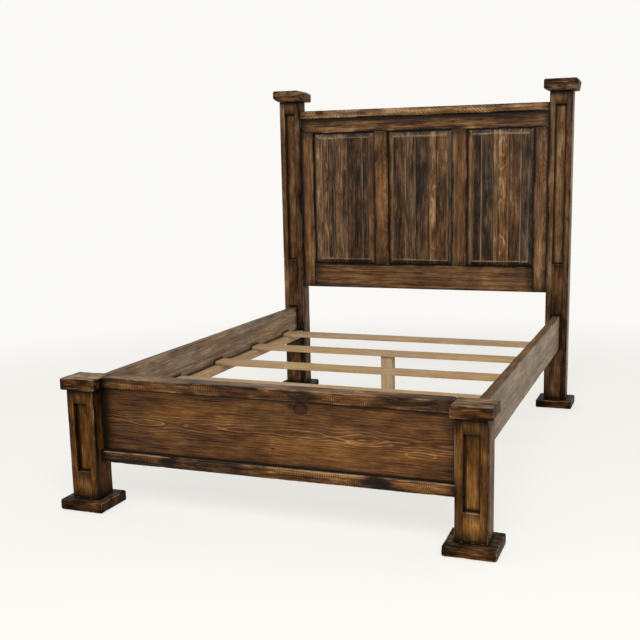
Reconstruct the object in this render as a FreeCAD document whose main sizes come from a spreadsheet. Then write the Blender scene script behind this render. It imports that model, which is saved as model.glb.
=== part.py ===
import FreeCAD, Part
import os
import re
import Sketcher

# A panelled pine bed frame. The origin is on the floor under the middle of the bed,
# with X across the bed, Y from the foot to the head and Z up.

# Driving dimensions in millimetres
SIZES = {
    # Posts: outer faces across the bed, and front face of foot post to front face of head post
    "post_span": 1710,
    "foot_to_head": 2200,
    "post_width": 122,
    "post_depth": 102,
    "foot_post_top": 496,
    "head_post_top": 1747,
    # Built-up front face of a post, with a sunk recess between strips and blocks
    "facing_depth": 22,
    "recess_width": 62,
    "foot_low_block": 111,
    "foot_top_block": 56,
    "head_low_block": 766,
    "head_top_block": 70,
    # Slabs over and under the posts
    "plinth_thick": 46,
    "plinth_overhang": 39,
    "foot_cap_thick": 48,
    "foot_cap_overhang": 17,
    "head_cap_thick": 63,
    "head_cap_overhang": 31,
    "slab_round": 9,
    "dowel_radius": 6,
    "dowel_length": 50,
    "dowel_pitch": 54,
    "dowel_gap": 0.2,
    # Footboard, with the panel set back from the rear faces of the foot posts
    "foot_rail_depth": 76,
    "foot_rail_thick": 44,
    "foot_base_depth": 56,
    "foot_base_low": 191,
    "foot_base_thick": 46,
    "foot_panel_setback": 10,
    "foot_panel_thick": 26,
    "cap_tenon_length": 20,
    "cap_tenon_height": 20,
    "cap_tenon_depth": 40,
    # Headboard
    "head_rail_setback": 10,
    "head_rail_depth": 80,
    "head_rail_drop": 101,
    "head_rail_thick": 45,
    "frame_setback": 25,
    "frame_thick": 40,
    "frame_low": 650,
    "frame_base_height": 140,
    "frame_top_height": 83,
    "stile_width": 78,
    "muntin_width": 83,
    "centre_panel_width": 384,
    "tongue_thick": 12,
    "field_rise": 10,
    "bevel_width": 32,
    "bevel_quirk": 2,
    "frame_tenon_length": 42,
    "frame_haunch": 14,
    # Joinery shared by the footboard and the headboard
    "panel_groove": 10,
    "tenon_length": 30,
    "tenon_height": 24,
    "tenon_thick": 20,
    "wood_gap": 0.5,
    "rail_round": 4,
    # Side rails, and the plates that hook them onto the posts
    "side_rail_step": 40,
    "side_rail_thick": 40,
    "side_rail_low": 335,
    "side_rail_height": 188,
    "plate_lift": 22,
    "plate_width": 25,
    "plate_height": 120,
    "plate_thick": 3,
    "hook_base": 24,
    "hook_pitch": 50,
    "hook_height": 14,
    "hook_thick": 5,
    "hook_lip": 5,
    "hook_drop": 6,
    "hook_gap": 0.4,
    "plate_screw_margin": 10,
    "plate_screw_length": 16,
    "plate_screw_radius": 2,
    "plate_screw_head_radius": 4,
    "plate_screw_head_depth": 3,
    # Cleats and slats
    "cleat_side": 38,
    "cleat_lift": 4,
    "cleat_end_gap": 8,
    "cleat_screw_margin": 120,
    "cleat_screw_length": 62,
    "cleat_screw_radius": 2.5,
    "cleat_screw_head_radius": 5,
    "cleat_screw_head_depth": 4,
    "screw_gap": 0.1,
    # Cross recess in a screw's head, as shares of the head's radius and depth
    "recess_length_share": 1.2,
    "recess_width_share": 0.3,
    "recess_depth_share": 0.5,
    "slat_width": 90,
    "slat_thick": 20,
    "slat_end_gap": 3,
    "slat_margin": 185,
    # Centre legs with levelling feet
    "leg_side": 60,
    "leg_tenon_side": 30,
    "pad_radius": 20,
    "pad_rim": 6,
    "pad_thick": 12,
    "pad_neck_radius": 11,
    "stem_radius": 4,
    "stem_length": 45,
    "foot_travel": 12,
    "foot_spare": 1,
    "bore_spare": 3,
    "insert_radius": 8,
    "insert_length": 16,
    "thread_gap": 0.3,
    # How far a cut runs past the face that it opens
    "overrun": 1,
}
SLATS = 5
LEGGED_SLATS = (2, 4)
HOOKS_PER_PLATE = 2
CLEAT_SCREWS = 6
SIDES = ("left", "right")
ENDS = ("foot", "head")

doc = FreeCAD.newDocument("bed_frame")
sheet = doc.addObject("Spreadsheet::Sheet", "Sizes")
for row, (alias, value) in enumerate(SIZES.items(), 1):
    sheet.set(f"A{row}", alias)
    sheet.set(f"B{row}", str(value))
    sheet.setAlias(f"B{row}", alias)
doc.recompute()

# Places worked out from the driving dimensions. A pair is a low and a high place on one axis.
OUTER = "(post_span / 2)"
INNER = "(post_span / 2 - post_width)"
POST_MIDDLE = "(post_span / 2 - post_width / 2)"
STRIP = "((post_width - recess_width) / 2)"
FRONT = {"foot": "(-(foot_to_head + post_depth) / 2)", "head": "((foot_to_head - post_depth) / 2)"}
TOP = {"foot": "foot_post_top", "head": "head_post_top"}
FOOT = FRONT["foot"]
HEAD = FRONT["head"]
FOOT_BACK = f"({FOOT} + post_depth)"
TONGUE_REACH = "(panel_groove - wood_gap)"

FOOT_TOP = "(foot_post_top + foot_cap_thick)"
FOOT_RAIL_LOW = f"({FOOT_TOP} - foot_rail_thick)"
FOOT_RAIL_END = f"({INNER} - foot_cap_overhang)"
FOOT_RAIL_BACK = f"({FOOT_BACK} + foot_cap_overhang)"
FOOT_BASE_TOP = "(foot_base_low + foot_base_thick)"
PANEL_BED = f"({FOOT_BASE_TOP} - panel_groove)"

HEAD_RAIL_LOW = "(head_post_top - head_rail_drop)"
FRAME_FRONT = f"({HEAD} + frame_setback)"
TONGUE_FRONT = f"({FRAME_FRONT} + (frame_thick - tongue_thick) / 2)"
OPENING_LOW = "(frame_low + frame_base_height)"
OPENING_HIGH = f"({HEAD_RAIL_LOW} - frame_top_height)"
OPENING_HEIGHT = f"({OPENING_HIGH} - {OPENING_LOW})"
STILE_INNER = f"({INNER} - stile_width)"
MUNTIN_LOW = "(centre_panel_width / 2)"
MUNTIN_HIGH = "(centre_panel_width / 2 + muntin_width)"

RAIL_OUTER = f"({OUTER} - side_rail_step)"
RAIL_INNER = f"({RAIL_OUTER} - side_rail_thick)"
RAIL_MIDDLE = f"({RAIL_OUTER} - side_rail_thick / 2)"
RAIL_LENGTH = f"({HEAD} - {FOOT_BACK})"
PLATE_LOW = "(side_rail_low + plate_lift)"
HOOK_REACH = "(plate_thick + hook_gap + hook_lip)"
CLEAT_LOW = "(side_rail_low + cleat_lift)"
CLEAT_TOP = f"({CLEAT_LOW} + cleat_side)"
CLEAT_INNER = f"({RAIL_INNER} - cleat_side)"
SLAT_TOP = f"({CLEAT_TOP} + slat_thick)"
LEG_LOW = "(pad_thick + foot_travel + foot_spare)"

pieces = {}


def named(text):
    """Write an expression's named sizes as cells of the sheet."""
    words = set(re.findall(r"[a-z_]+", text)) & set(SIZES)
    for word in words:
        text = re.sub(rf"\b{word}\b", f"Sizes.{word}", text)
    return text


def bind(item, **expressions):
    """Tie properties of an object to named sizes."""
    for name, text in expressions.items():
        item.setExpression(name, named(text))


def place(item, corner):
    """Tie an object's place to named sizes, one expression per axis."""
    for axis, text in zip("xyz", corner):
        item.setExpression(f".Placement.Base.{axis}", named(text))


def run(start, length):
    """A pair that starts at a place and is so long."""
    return (start, f"({start} + {length})")


def centred(middle, length):
    """A pair of a given length about a middle place."""
    return (f"({middle} - ({length}) / 2)", f"({middle} + ({length}) / 2)")


def eased(pair, gap="wood_gap"):
    """A pair made longer by a gap at both ends."""
    return (f"({pair[0]} - {gap})", f"({pair[1]} + {gap})")


def mirrored(place_across, side):
    """A place across the bed, on the side asked for."""
    return place_across if side == "right" else f"(-{place_across})"


def spans(x, y, z, side):
    """Low corner and size of what lies between three pairs, mirrored for the left side."""
    if side == "left":
        x = (mirrored(x[1], side), mirrored(x[0], side))
    return [low for low, high in (x, y, z)], [f"{high} - {low}" for low, high in (x, y, z)]


def block(name, x, y, z, side="right"):
    """A plain block between three pairs."""
    corner, size = spans(x, y, z, side)
    item = doc.addObject("Part::Box", name)
    bind(item, Length=size[0], Width=size[1], Height=size[2])
    place(item, corner)
    return item


def slab(name, x, y, z, rounding, side="right"):
    """A block with all its edges rounded: a sketched rectangle, padded and filleted."""
    corner, size = spans(x, y, z, side)
    body = doc.addObject("PartDesign::Body", name)
    sketch = body.newObject("Sketcher::SketchObject", name + "_outline")
    floor = [plane for plane in body.Origin.OriginFeatures if plane.Role == "XY_Plane"][0]
    sketch.AttachmentSupport = [(floor, "")]
    sketch.MapMode = "FlatFace"
    start = SIZES["overrun"]
    corners = [FreeCAD.Vector(*spot) for spot in ((0, 0), (start, 0), (start, start), (0, start))]
    for edge in range(4):
        sketch.addGeometry(Part.LineSegment(corners[edge], corners[(edge + 1) % 4]), False)
    for edge in range(4):
        sketch.addConstraint(Sketcher.Constraint("Coincident", edge, 2, (edge + 1) % 4, 1))
        sketch.addConstraint(Sketcher.Constraint(("Horizontal", "Vertical")[edge % 2], edge))
    sketch.addConstraint(Sketcher.Constraint("Coincident", 0, 1, -1, 1))
    width = sketch.addConstraint(Sketcher.Constraint("DistanceX", 0, 1, 0, 2, start))
    depth = sketch.addConstraint(Sketcher.Constraint("DistanceY", 1, 1, 1, 2, start))
    bind(sketch, **{f"Constraints[{width}]": size[0], f"Constraints[{depth}]": size[1]})
    pad = body.newObject("PartDesign::Pad", name + "_pad")
    pad.Profile = sketch
    bind(pad, Length=size[2])
    doc.recompute()
    fillet = body.newObject("PartDesign::Fillet", name + "_rounding")
    fillet.Base = (pad, [""])
    fillet.UseAllEdges = True
    bind(fillet, Radius=rounding)
    place(body, corner)
    return body


def turned(item, direction):
    """Turn an upright round piece so that its axis points along a direction."""
    turn = FreeCAD.Rotation(FreeCAD.Vector(0, 0, 1), FreeCAD.Vector(*direction))
    item.Placement = FreeCAD.Placement(FreeCAD.Vector(), turn)
    return item


def rod(name, base, radius, length, direction=(0, 0, 1)):
    """A round bar from a base point along a direction."""
    item = turned(doc.addObject("Part::Cylinder", name), direction)
    bind(item, Radius=radius, Height=length)
    place(item, base)
    return item


def taper(name, base, base_radius, end_radius, length, direction=(0, 0, 1)):
    """A cone frustum from a base point along a direction."""
    item = turned(doc.addObject("Part::Cone", name), direction)
    bind(item, Radius1=base_radius, Radius2=end_radius, Height=length)
    place(item, base)
    return item


def screw_form(name, base, direction, kind, gap="0"):
    """A countersunk screw's outer form, its head's flat face at the base point, or with a gap, its hole."""
    radius = f"{kind}_radius + {gap}"
    head_radius = f"{kind}_head_radius + {gap}"
    head = taper(name + "_head", base, head_radius, radius, f"{kind}_head_depth", direction)
    shank = rod(name + "_shank", base, radius, f"{kind}_length + {gap}", direction)
    return joined(name, [head, shank])


def screw(name, base, direction, kind):
    """A countersunk screw with a cross recess in its head."""
    axis = [step != 0 for step in direction].index(True)
    others = [number for number in range(len(base)) if number != axis]
    depth = f"({kind}_head_depth * recess_depth_share)"
    arms = [f"{kind}_head_radius * recess_{way}_share" for way in ("length", "width")]
    spans_of = {axis: (f"({base[axis]} - overrun)", f"({base[axis]} + {depth})")}
    if sum(direction) < 0:
        spans_of[axis] = (f"({base[axis]} - {depth})", f"({base[axis]} + overrun)")
    slots = []
    for turn, lengths in enumerate((arms, arms[::-1])):
        for other, length in zip(others, lengths):
            spans_of[other] = centred(base[other], length)
        slots.append(block(f"{name}_recess_{turn}", *(spans_of[number] for number in range(len(base)))))
    return cut(name, screw_form(name + "_form", base, direction, kind), slots)


def joined(name, items):
    """Several overlapping or touching shapes made into one."""
    if len(items) == 1:
        return items[0]
    item = doc.addObject("Part::MultiFuse", name)
    item.Shapes = items
    item.Refine = True
    return item


def cut(name, base, tools):
    """A shape with other shapes taken out of it."""
    item = doc.addObject("Part::Cut", name)
    item.Base = base
    item.Tool = joined(name + "_tools", tools)
    return item


def piece(label, item):
    """Name a finished piece of the bed."""
    item.Label = label
    pieces[label] = item


def group(label, items):
    """Name a set of identical loose pieces that share one node."""
    item = doc.addObject("Part::Compound", label)
    item.Links = items
    piece(label, item)


def into_post(end, start, stop):
    """A pair along the bed, counted into a post from the end of the side rail."""
    if end == "foot":
        return (f"({FOOT_BACK} - ({stop}))", f"({FOOT_BACK} - ({start}))")
    return (f"({HEAD} + {start})", f"({HEAD} + {stop})")


# Places of the tenons, tongues and panels that several pieces share
POST_MORTISE_X = (f"({INNER} - overrun)", f"({INNER} + tenon_length + wood_gap)")
POST_GROOVE_X = (f"({INNER} - overrun)", f"({INNER} + panel_groove)")
TENONED_X = (f"(-({INNER} + tenon_length))", f"({INNER} + tenon_length)")
CAP_TENONED_X = (f"(-({FOOT_RAIL_END} + cap_tenon_length))", f"({FOOT_RAIL_END} + cap_tenon_length)")
FOOT_RAIL_Y = (f"({FOOT_RAIL_BACK} - foot_rail_depth)", FOOT_RAIL_BACK)
FOOT_BASE_Y = (f"({FOOT_BACK} - foot_base_depth)", FOOT_BACK)
FOOT_PANEL_Y = run(f"({FOOT_BACK} - foot_panel_setback - foot_panel_thick)", "foot_panel_thick")
HEAD_RAIL_Y = run(f"({HEAD} + head_rail_setback)", "head_rail_depth")
FRAME_Y = run(FRAME_FRONT, "frame_thick")
TONGUE_Y = run(TONGUE_FRONT, "tongue_thick")
FRAME_Z = ("frame_low", HEAD_RAIL_LOW)
OPENING_Z = (OPENING_LOW, OPENING_HIGH)
CAP_TENON_Y = centred(f"({FOOT_RAIL_BACK} - foot_rail_depth / 2)", "cap_tenon_depth")
CAP_TENON_Z = centred(f"({FOOT_RAIL_LOW} + foot_rail_thick / 2)", "cap_tenon_height")
RAIL_TENON = {
    "foot": (centred(f"({FOOT_BACK} - foot_base_depth / 2)", "tenon_thick"),
             centred("(foot_base_low + foot_base_thick / 2)", "tenon_height")),
    "head": (centred(f"({HEAD} + head_rail_setback + head_rail_depth / 2)", "tenon_thick"),
             centred(f"({HEAD_RAIL_LOW} + head_rail_thick / 2)", "tenon_height")),
}
FRAME_TENON_Z = ("(frame_low + frame_haunch)", f"({OPENING_LOW} - frame_haunch)")

# Dowels that fix each cap and plinth to its post, and the holes that they sit in
dowels = []
dowel_holes = {}
for end in ENDS:
    for side in SIDES:
        for level, height in (("cap", TOP[end]), ("plinth", "plinth_thick")):
            holes = []
            for number, across in enumerate(centred(POST_MIDDLE, "dowel_pitch"), 1):
                name = f"{end}_{side}_{level}_dowel_{number}"
                spot = (mirrored(across, side), f"{FRONT[end]} + (facing_depth + post_depth) / 2")
                base = (*spot, f"{height} - dowel_length / 2")
                hole_base = (*spot, f"{height} - dowel_length / 2 - dowel_gap")
                dowels.append(rod(name, base, "dowel_radius", "dowel_length"))
                holes.append(rod(name + "_hole", hole_base, "dowel_radius + dowel_gap",
                                 "dowel_length + 2 * dowel_gap"))
            dowel_holes[end, side, level] = holes
group("post_dowels", dowels)

# Plates that hook the side rails onto the posts, with their screws and their seats
hook_plates = []
slot_plates = []
plate_screws = []
rail_seats = {}
post_seats = {}


def corner_plates(end, side):
    """One rail end: a plate with two hooks in the rail, and a slotted plate in the post."""
    name = f"{end}_{side}"
    plate_x = centred(RAIL_MIDDLE, "plate_width")
    plate_z = run(PLATE_LOW, "plate_height")
    hook_x = centred(RAIL_MIDDLE, "hook_thick")
    rail_side_y = into_post(end, "-plate_thick", "0")
    post_side_y = into_post(end, "0", "plate_thick")
    hooks = [block(name + "_hook_plate", plate_x, rail_side_y, plate_z, side)]
    slots = []
    pockets = [block(name + "_slot_seat", plate_x, post_side_y, plate_z, side)]
    for number in range(HOOKS_PER_PLATE):
        low = f"({PLATE_LOW} + hook_base + {number} * hook_pitch)"
        slot_top = f"({low} + hook_height + hook_drop + hook_gap)"
        hooks.append(block(f"{name}_hook_neck_{number}", hook_x, into_post(end, "0", HOOK_REACH),
                           run(low, "hook_height"), side))
        hooks.append(block(f"{name}_hook_lip_{number}", hook_x,
                           into_post(end, "(plate_thick + hook_gap)", HOOK_REACH),
                           (f"({low} - hook_drop)", low), side))
        slots.append(block(f"{name}_slot_{number}", eased(hook_x, "hook_gap"),
                           into_post(end, "-overrun", "(plate_thick + overrun)"), (low, slot_top), side))
        pockets.append(block(f"{name}_pocket_{number}", eased(hook_x, "hook_gap"),
                             into_post(end, "0", f"({HOOK_REACH} + hook_gap)"),
                             (f"({low} - hook_drop - hook_gap)", slot_top), side))
    holes = {"hook": [], "slot": []}
    joint_face = FOOT_BACK if end == "foot" else HEAD
    outward = -1 if end == "foot" else 1
    for number, level in enumerate(eased(plate_z, "(-plate_screw_margin)")):
        base = (mirrored(RAIL_MIDDLE, side), joint_face, level)
        for plate, heading in (("hook", -outward), ("slot", outward)):
            screw_name = f"{name}_{plate}_screw_{number}"
            direction = (0, heading, 0)
            plate_screws.append(screw(screw_name, base, direction, "plate_screw"))
            hole = screw_form(screw_name + "_hole", base, direction, "plate_screw", "screw_gap")
            holes[plate].append(hole)
    hook_plates.append(cut(name + "_hook_plate_drilled", joined(name + "_hooks", hooks), holes["hook"]))
    slot_plate = block(name + "_slot_plate", plate_x, post_side_y, plate_z, side)
    slot_plates.append(cut(name + "_slot_plate_cut", slot_plate, slots + holes["slot"]))
    rail_seats[end, side] = [block(name + "_hook_seat", plate_x, rail_side_y, plate_z, side)] + holes["hook"]
    post_seats[end, side] = pockets + holes["slot"]


for end in ENDS:
    for side in SIDES:
        corner_plates(end, side)
group("rail_hook_plates", hook_plates)
group("post_slot_plates", slot_plates)
group("plate_screws", plate_screws)


# Posts: a core, two strips and two blocks on its front, a cap and a plinth
def post_core(name, end, side):
    """The square core, drilled and grooved for what it holds."""
    core_y = (f"({FRONT[end]} + facing_depth)", f"({FRONT[end]} + post_depth)")
    core = block(name + "_blank", (INNER, OUTER), core_y, ("plinth_thick", TOP[end]), side)
    tools = dowel_holes[end, side, "cap"] + dowel_holes[end, side, "plinth"]
    if end == "foot":
        tools = tools + post_seats[end, side]
        groove_y, groove_z = FOOT_PANEL_Y, (PANEL_BED, f"({TOP[end]} + overrun)")
    else:
        groove_y, groove_z = TONGUE_Y, FRAME_Z
    tenon_y, tenon_z = RAIL_TENON[end]
    tools = tools + [block(name + "_groove", POST_GROOVE_X, eased(groove_y), groove_z, side),
                     block(name + "_mortise", POST_MORTISE_X, eased(tenon_y), eased(tenon_z), side)]
    piece(name, cut(name, core, tools))


def post_facing(name, end, side):
    """Strips and blocks on the front of the core, which frame a sunk recess."""
    facing_y = run(FRONT[end], "facing_depth")
    strips = []
    for edge, strip_x in (("inner", run(INNER, STRIP)), ("outer", (f"({OUTER} - {STRIP})", OUTER))):
        strips.append(block(f"{name}_{edge}_strip", strip_x, facing_y, ("plinth_thick", TOP[end]), side))
    group(name + "_strips", strips)
    block_x = centred(POST_MIDDLE, "recess_width")
    top_z = (f"({TOP[end]} - {end}_top_block)", TOP[end])
    piece(name + "_top_block", block(name + "_top_block", block_x, facing_y, top_z, side))
    low_z = run("plinth_thick", f"{end}_low_block")
    low_block = block(name + "_low_blank", block_x, facing_y, low_z, side)
    if end == "head":
        low_block = cut(name + "_low_block", low_block, post_seats[end, side])
    piece(name + "_low_block", low_block)


def post_slab(label, end, side, z, overhang, tools):
    """A cap or a plinth: a rounded slab that stands out past the post all round."""
    slab_y = eased(run(FRONT[end], "post_depth"), overhang)
    blank = slab(label + "_blank", eased((INNER, OUTER), overhang), slab_y, z, "slab_round", side)
    piece(label, cut(label, blank, tools))


for end in ENDS:
    for side in SIDES:
        post_core(f"{end}_post_{side}", end, side)
        post_facing(f"{end}_post_{side}", end, side)
        cap_tools = list(dowel_holes[end, side, "cap"])
        if end == "foot":
            mortise_x = (f"({FOOT_RAIL_END} - overrun)", f"({FOOT_RAIL_END} + cap_tenon_length + wood_gap)")
            cap_tools.append(block(f"{end}_cap_{side}_mortise", mortise_x, eased(CAP_TENON_Y),
                                   eased(CAP_TENON_Z), side))
        post_slab(f"{end}_cap_{side}", end, side, run(TOP[end], f"{end}_cap_thick"), f"{end}_cap_overhang",
                  cap_tools)
        post_slab(f"{end}_plinth_{side}", end, side, ("0", "plinth_thick"), "plinth_overhang",
                  dowel_holes[end, side, "plinth"])


# Footboard: a flat top rail between the caps, one wide panel and a bottom rail
def footboard():
    rail_x = (f"(-{FOOT_RAIL_END})", FOOT_RAIL_END)
    rail = slab("foot_rail_plank", rail_x, FOOT_RAIL_Y, (FOOT_RAIL_LOW, FOOT_TOP), "rail_round")
    rail_tenon = block("foot_rail_tenon", CAP_TENONED_X, CAP_TENON_Y, CAP_TENON_Z)
    rail_groove = block("foot_rail_groove", eased(rail_x, "overrun"), eased(FOOT_PANEL_Y),
                        (f"({FOOT_RAIL_LOW} - overrun)", f"({FOOT_RAIL_LOW} + panel_groove)"))
    piece("footboard_top_rail",
          cut("footboard_top_rail", joined("foot_rail_tenoned", [rail, rail_tenon]), [rail_groove]))
    panel_end = f"({INNER} + {TONGUE_REACH})"
    board_z = (PANEL_BED, "foot_post_top")
    board = block("foot_panel_board", (f"(-{panel_end})", panel_end), FOOT_PANEL_Y, board_z)
    tongue_end = f"({FOOT_RAIL_END} - wood_gap)"
    tongue_z = (PANEL_BED, f"({FOOT_RAIL_LOW} + {TONGUE_REACH})")
    tongue = block("foot_panel_tongue", (f"(-{tongue_end})", tongue_end), FOOT_PANEL_Y, tongue_z)
    piece("footboard_panel", joined("footboard_panel", [board, tongue]))
    base_x = (f"(-{INNER})", INNER)
    base = slab("foot_base_plank", base_x, FOOT_BASE_Y, ("foot_base_low", FOOT_BASE_TOP), "rail_round")
    base_tenon = block("foot_base_tenon", TENONED_X, *RAIL_TENON["foot"])
    base_groove = block("foot_base_groove", eased(base_x, "overrun"), eased(FOOT_PANEL_Y),
                        (PANEL_BED, f"({FOOT_BASE_TOP} + overrun)"))
    piece("footboard_bottom_rail",
          cut("footboard_bottom_rail", joined("foot_base_tenoned", [base, base_tenon]), [base_groove]))


footboard()


# Headboard: a cap rail over a frame of stiles, rails and muntins that holds three raised panels
def cap_rail():
    rail_z = run(HEAD_RAIL_LOW, "head_rail_thick")
    plank = slab("head_rail_plank", (f"(-{INNER})", INNER), HEAD_RAIL_Y, rail_z, "rail_round")
    tenon = block("head_rail_tenon", TENONED_X, *RAIL_TENON["head"])
    piece("headboard_cap_rail", joined("headboard_cap_rail", [plank, tenon]))


def frame_base():
    """The headboard's bottom rail, with a haunched tenon at each end and a groove along its top."""
    label = "headboard_bottom_rail"
    rail_z = ("frame_low", OPENING_LOW)
    reaches = {"plank": STILE_INNER, "haunch": f"({STILE_INNER} + {TONGUE_REACH})",
               "tenon": f"({STILE_INNER} + frame_tenon_length)", "groove": f"({STILE_INNER} + panel_groove)"}
    x = {name: (f"(-{reach})", reach) for name, reach in reaches.items()}
    solids = [block(label + "_plank", x["plank"], FRAME_Y, rail_z),
              block(label + "_haunch", x["haunch"], TONGUE_Y, rail_z),
              block(label + "_tenon", x["tenon"], TONGUE_Y, FRAME_TENON_Z)]
    groove_z = (f"({OPENING_LOW} - panel_groove)", f"({OPENING_LOW} + overrun)")
    groove = block(label + "_groove", x["groove"], eased(TONGUE_Y), groove_z)
    piece(label, cut(label, joined(label + "_tenoned", solids), [groove]))


def frame_top():
    """The headboard's top rail, which runs over the stiles: tongued into the posts, grooved below."""
    label = "headboard_top_rail"
    rail_z = (OPENING_HIGH, HEAD_RAIL_LOW)
    tongue_end = f"({INNER} + {TONGUE_REACH})"
    tongue_x = (f"(-{tongue_end})", tongue_end)
    plank = block(label + "_plank", (f"(-{INNER})", INNER), FRAME_Y, rail_z)
    tongue = block(label + "_tongue", tongue_x, TONGUE_Y, rail_z)
    groove_z = (f"({OPENING_HIGH} - overrun)", f"({OPENING_HIGH} + panel_groove)")
    groove = block(label + "_groove", eased(tongue_x, "overrun"), eased(TONGUE_Y), groove_z)
    piece(label, cut(label, joined(label + "_tongued", [plank, tongue]), [groove]))


def stile(side):
    """A headboard stile, tongued into the post and the top rail, and mortised for the bottom rail."""
    label = f"headboard_stile_{side}"
    plank = block(label + "_plank", (STILE_INNER, INNER), FRAME_Y, ("frame_low", OPENING_HIGH), side)
    tongue_x = (f"({STILE_INNER} + panel_groove)", f"({INNER} + {TONGUE_REACH})")
    tongue_z = ("frame_low", f"({OPENING_HIGH} + {TONGUE_REACH})")
    tongue = block(label + "_tongue", tongue_x, TONGUE_Y, tongue_z, side)
    groove_x = (f"({STILE_INNER} - overrun)", f"({STILE_INNER} + panel_groove)")
    mortise_x = (f"({STILE_INNER} - overrun)", f"({STILE_INNER} + frame_tenon_length + wood_gap)")
    tools = [block(label + "_groove", groove_x, eased(TONGUE_Y), eased(FRAME_Z, "overrun"), side),
             block(label + "_mortise", mortise_x, eased(TONGUE_Y), eased(FRAME_TENON_Z), side)]
    piece(label, cut(label, joined(label + "_tongued", [plank, tongue]), tools))


def muntin(side):
    """An upright between two headboard panels, with stub tongues in the rails' grooves."""
    label = f"headboard_muntin_{side}"
    plank = block(label + "_plank", (MUNTIN_LOW, MUNTIN_HIGH), FRAME_Y, OPENING_Z, side)
    stub_x = (f"({MUNTIN_LOW} + panel_groove)", f"({MUNTIN_HIGH} - panel_groove)")
    stub = block(label + "_stub", stub_x, TONGUE_Y, eased(OPENING_Z, TONGUE_REACH), side)
    groove_z = eased(OPENING_Z, "overrun")
    tools = []
    for edge, groove_x in (("near", (f"({MUNTIN_LOW} - overrun)", stub_x[0])),
                           ("far", (stub_x[1], f"({MUNTIN_HIGH} + overrun)"))):
        tools.append(block(f"{label}_{edge}_groove", groove_x, eased(TONGUE_Y), groove_z, side))
    piece(label, cut(label, joined(label + "_stubbed", [plank, stub]), tools))


def raised_panel(label, x, side="right"):
    """A panel with a tongue all round and a bevelled field raised towards the bed."""
    corner, size = spans(x, FRAME_Y, OPENING_Z, side)
    plate_z = (f"({OPENING_LOW} - panel_groove)", f"({OPENING_HIGH} + {TONGUE_REACH})")
    plate = block(label + "_plate", eased(x, TONGUE_REACH), TONGUE_Y, plate_z, side)
    field = doc.addObject("Part::Wedge", label + "_field")
    bind(field, Ymin="0", Ymax="field_rise",
         Xmin="bevel_width", Xmax=f"{size[0]} - bevel_width",
         Zmin="bevel_width", Zmax=f"{OPENING_HEIGHT} - bevel_width",
         X2min="bevel_quirk", X2max=f"{size[0]} - bevel_quirk",
         Z2min="bevel_quirk", Z2max=f"{OPENING_HEIGHT} - bevel_quirk")
    place(field, (corner[0], f"{TONGUE_FRONT} - field_rise", OPENING_LOW))
    piece(label, joined(label, [plate, field]))


cap_rail()
frame_base()
frame_top()
for side in SIDES:
    stile(side)
    muntin(side)
    raised_panel(f"headboard_panel_{side}", (MUNTIN_HIGH, STILE_INNER), side)
raised_panel("headboard_panel_centre", (f"(-{MUNTIN_LOW})", MUNTIN_LOW))

# Side rails with a cleat along the inside, screwed on
cleat_screws = []


def side_rail(side):
    """A plank notched under the foot cap, with seats for its hook plates, and its cleat."""
    label = f"side_rail_{side}"
    rail_top = "(side_rail_low + side_rail_height)"
    plank = slab(label + "_plank", (RAIL_INNER, RAIL_OUTER), (FOOT_BACK, HEAD), ("side_rail_low", rail_top),
                 "rail_round", side)
    notch_y = (f"({FOOT_BACK} - overrun)", f"({FOOT_BACK} + foot_cap_overhang + wood_gap)")
    notch = block(label + "_notch", eased((RAIL_INNER, RAIL_OUTER), "overrun"), notch_y,
                  ("(foot_post_top - wood_gap)", f"({rail_top} + overrun)"), side)
    outward = 1 if side == "right" else -1
    screw_run = f"({RAIL_LENGTH} - 2 * cleat_screw_margin)"
    holes = []
    for number in range(CLEAT_SCREWS):
        along = f"{FOOT_BACK} + cleat_screw_margin + {screw_run} * {number} / {CLEAT_SCREWS - 1}"
        base = (mirrored(CLEAT_INNER, side), along, f"{CLEAT_LOW} + cleat_side / 2")
        name = f"{label}_cleat_screw_{number}"
        cleat_screws.append(screw(name, base, (outward, 0, 0), "cleat_screw"))
        holes.append(screw_form(name + "_hole", base, (outward, 0, 0), "cleat_screw", "screw_gap"))
    piece(label, cut(label, plank, [notch] + rail_seats["foot", side] + rail_seats["head", side] + holes))
    cleat_y = eased((FOOT_BACK, HEAD), "(-cleat_end_gap)")
    cleat = block(f"cleat_{side}_blank", (CLEAT_INNER, RAIL_INNER), cleat_y, (CLEAT_LOW, CLEAT_TOP), side)
    piece(f"cleat_{side}", cut(f"cleat_{side}", cleat, holes))


for side in SIDES:
    side_rail(side)
group("cleat_screws", cleat_screws)


# Slats that lie loose on the cleats, two of them with a centre leg and a levelling foot
def centre_leg(number, middle):
    """A square leg tenoned up through its slat, bored from below for the levelling foot."""
    label = f"centre_leg_{number}"
    shank_z = (LEG_LOW, CLEAT_TOP)
    shank = block(label + "_shank", centred("0", "leg_side"), centred(middle, "leg_side"), shank_z)
    tenon = block(label + "_tenon", centred("0", "leg_tenon_side"), centred(middle, "leg_tenon_side"),
                  (LEG_LOW, SLAT_TOP))
    mouth = ("0", middle, f"{LEG_LOW} - overrun")
    insert_hole = rod(label + "_insert_hole", mouth, "insert_radius + dowel_gap", "insert_length + overrun")
    stem_hole = rod(label + "_stem_hole", mouth, "stem_radius + thread_gap",
                    f"pad_thick + stem_length + foot_travel + bore_spare - {LEG_LOW} + overrun")
    piece(label, cut(label, joined(label + "_blank", [shank, tenon]), [insert_hole, stem_hole]))
    sleeve = rod(f"leg_insert_{number}_sleeve", ("0", middle, LEG_LOW), "insert_radius", "insert_length")
    thread = rod(f"leg_insert_{number}_thread", mouth, "stem_radius + thread_gap",
                 "insert_length + 2 * overrun")
    piece(f"leg_insert_{number}", cut(f"leg_insert_{number}", sleeve, [thread]))


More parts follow.
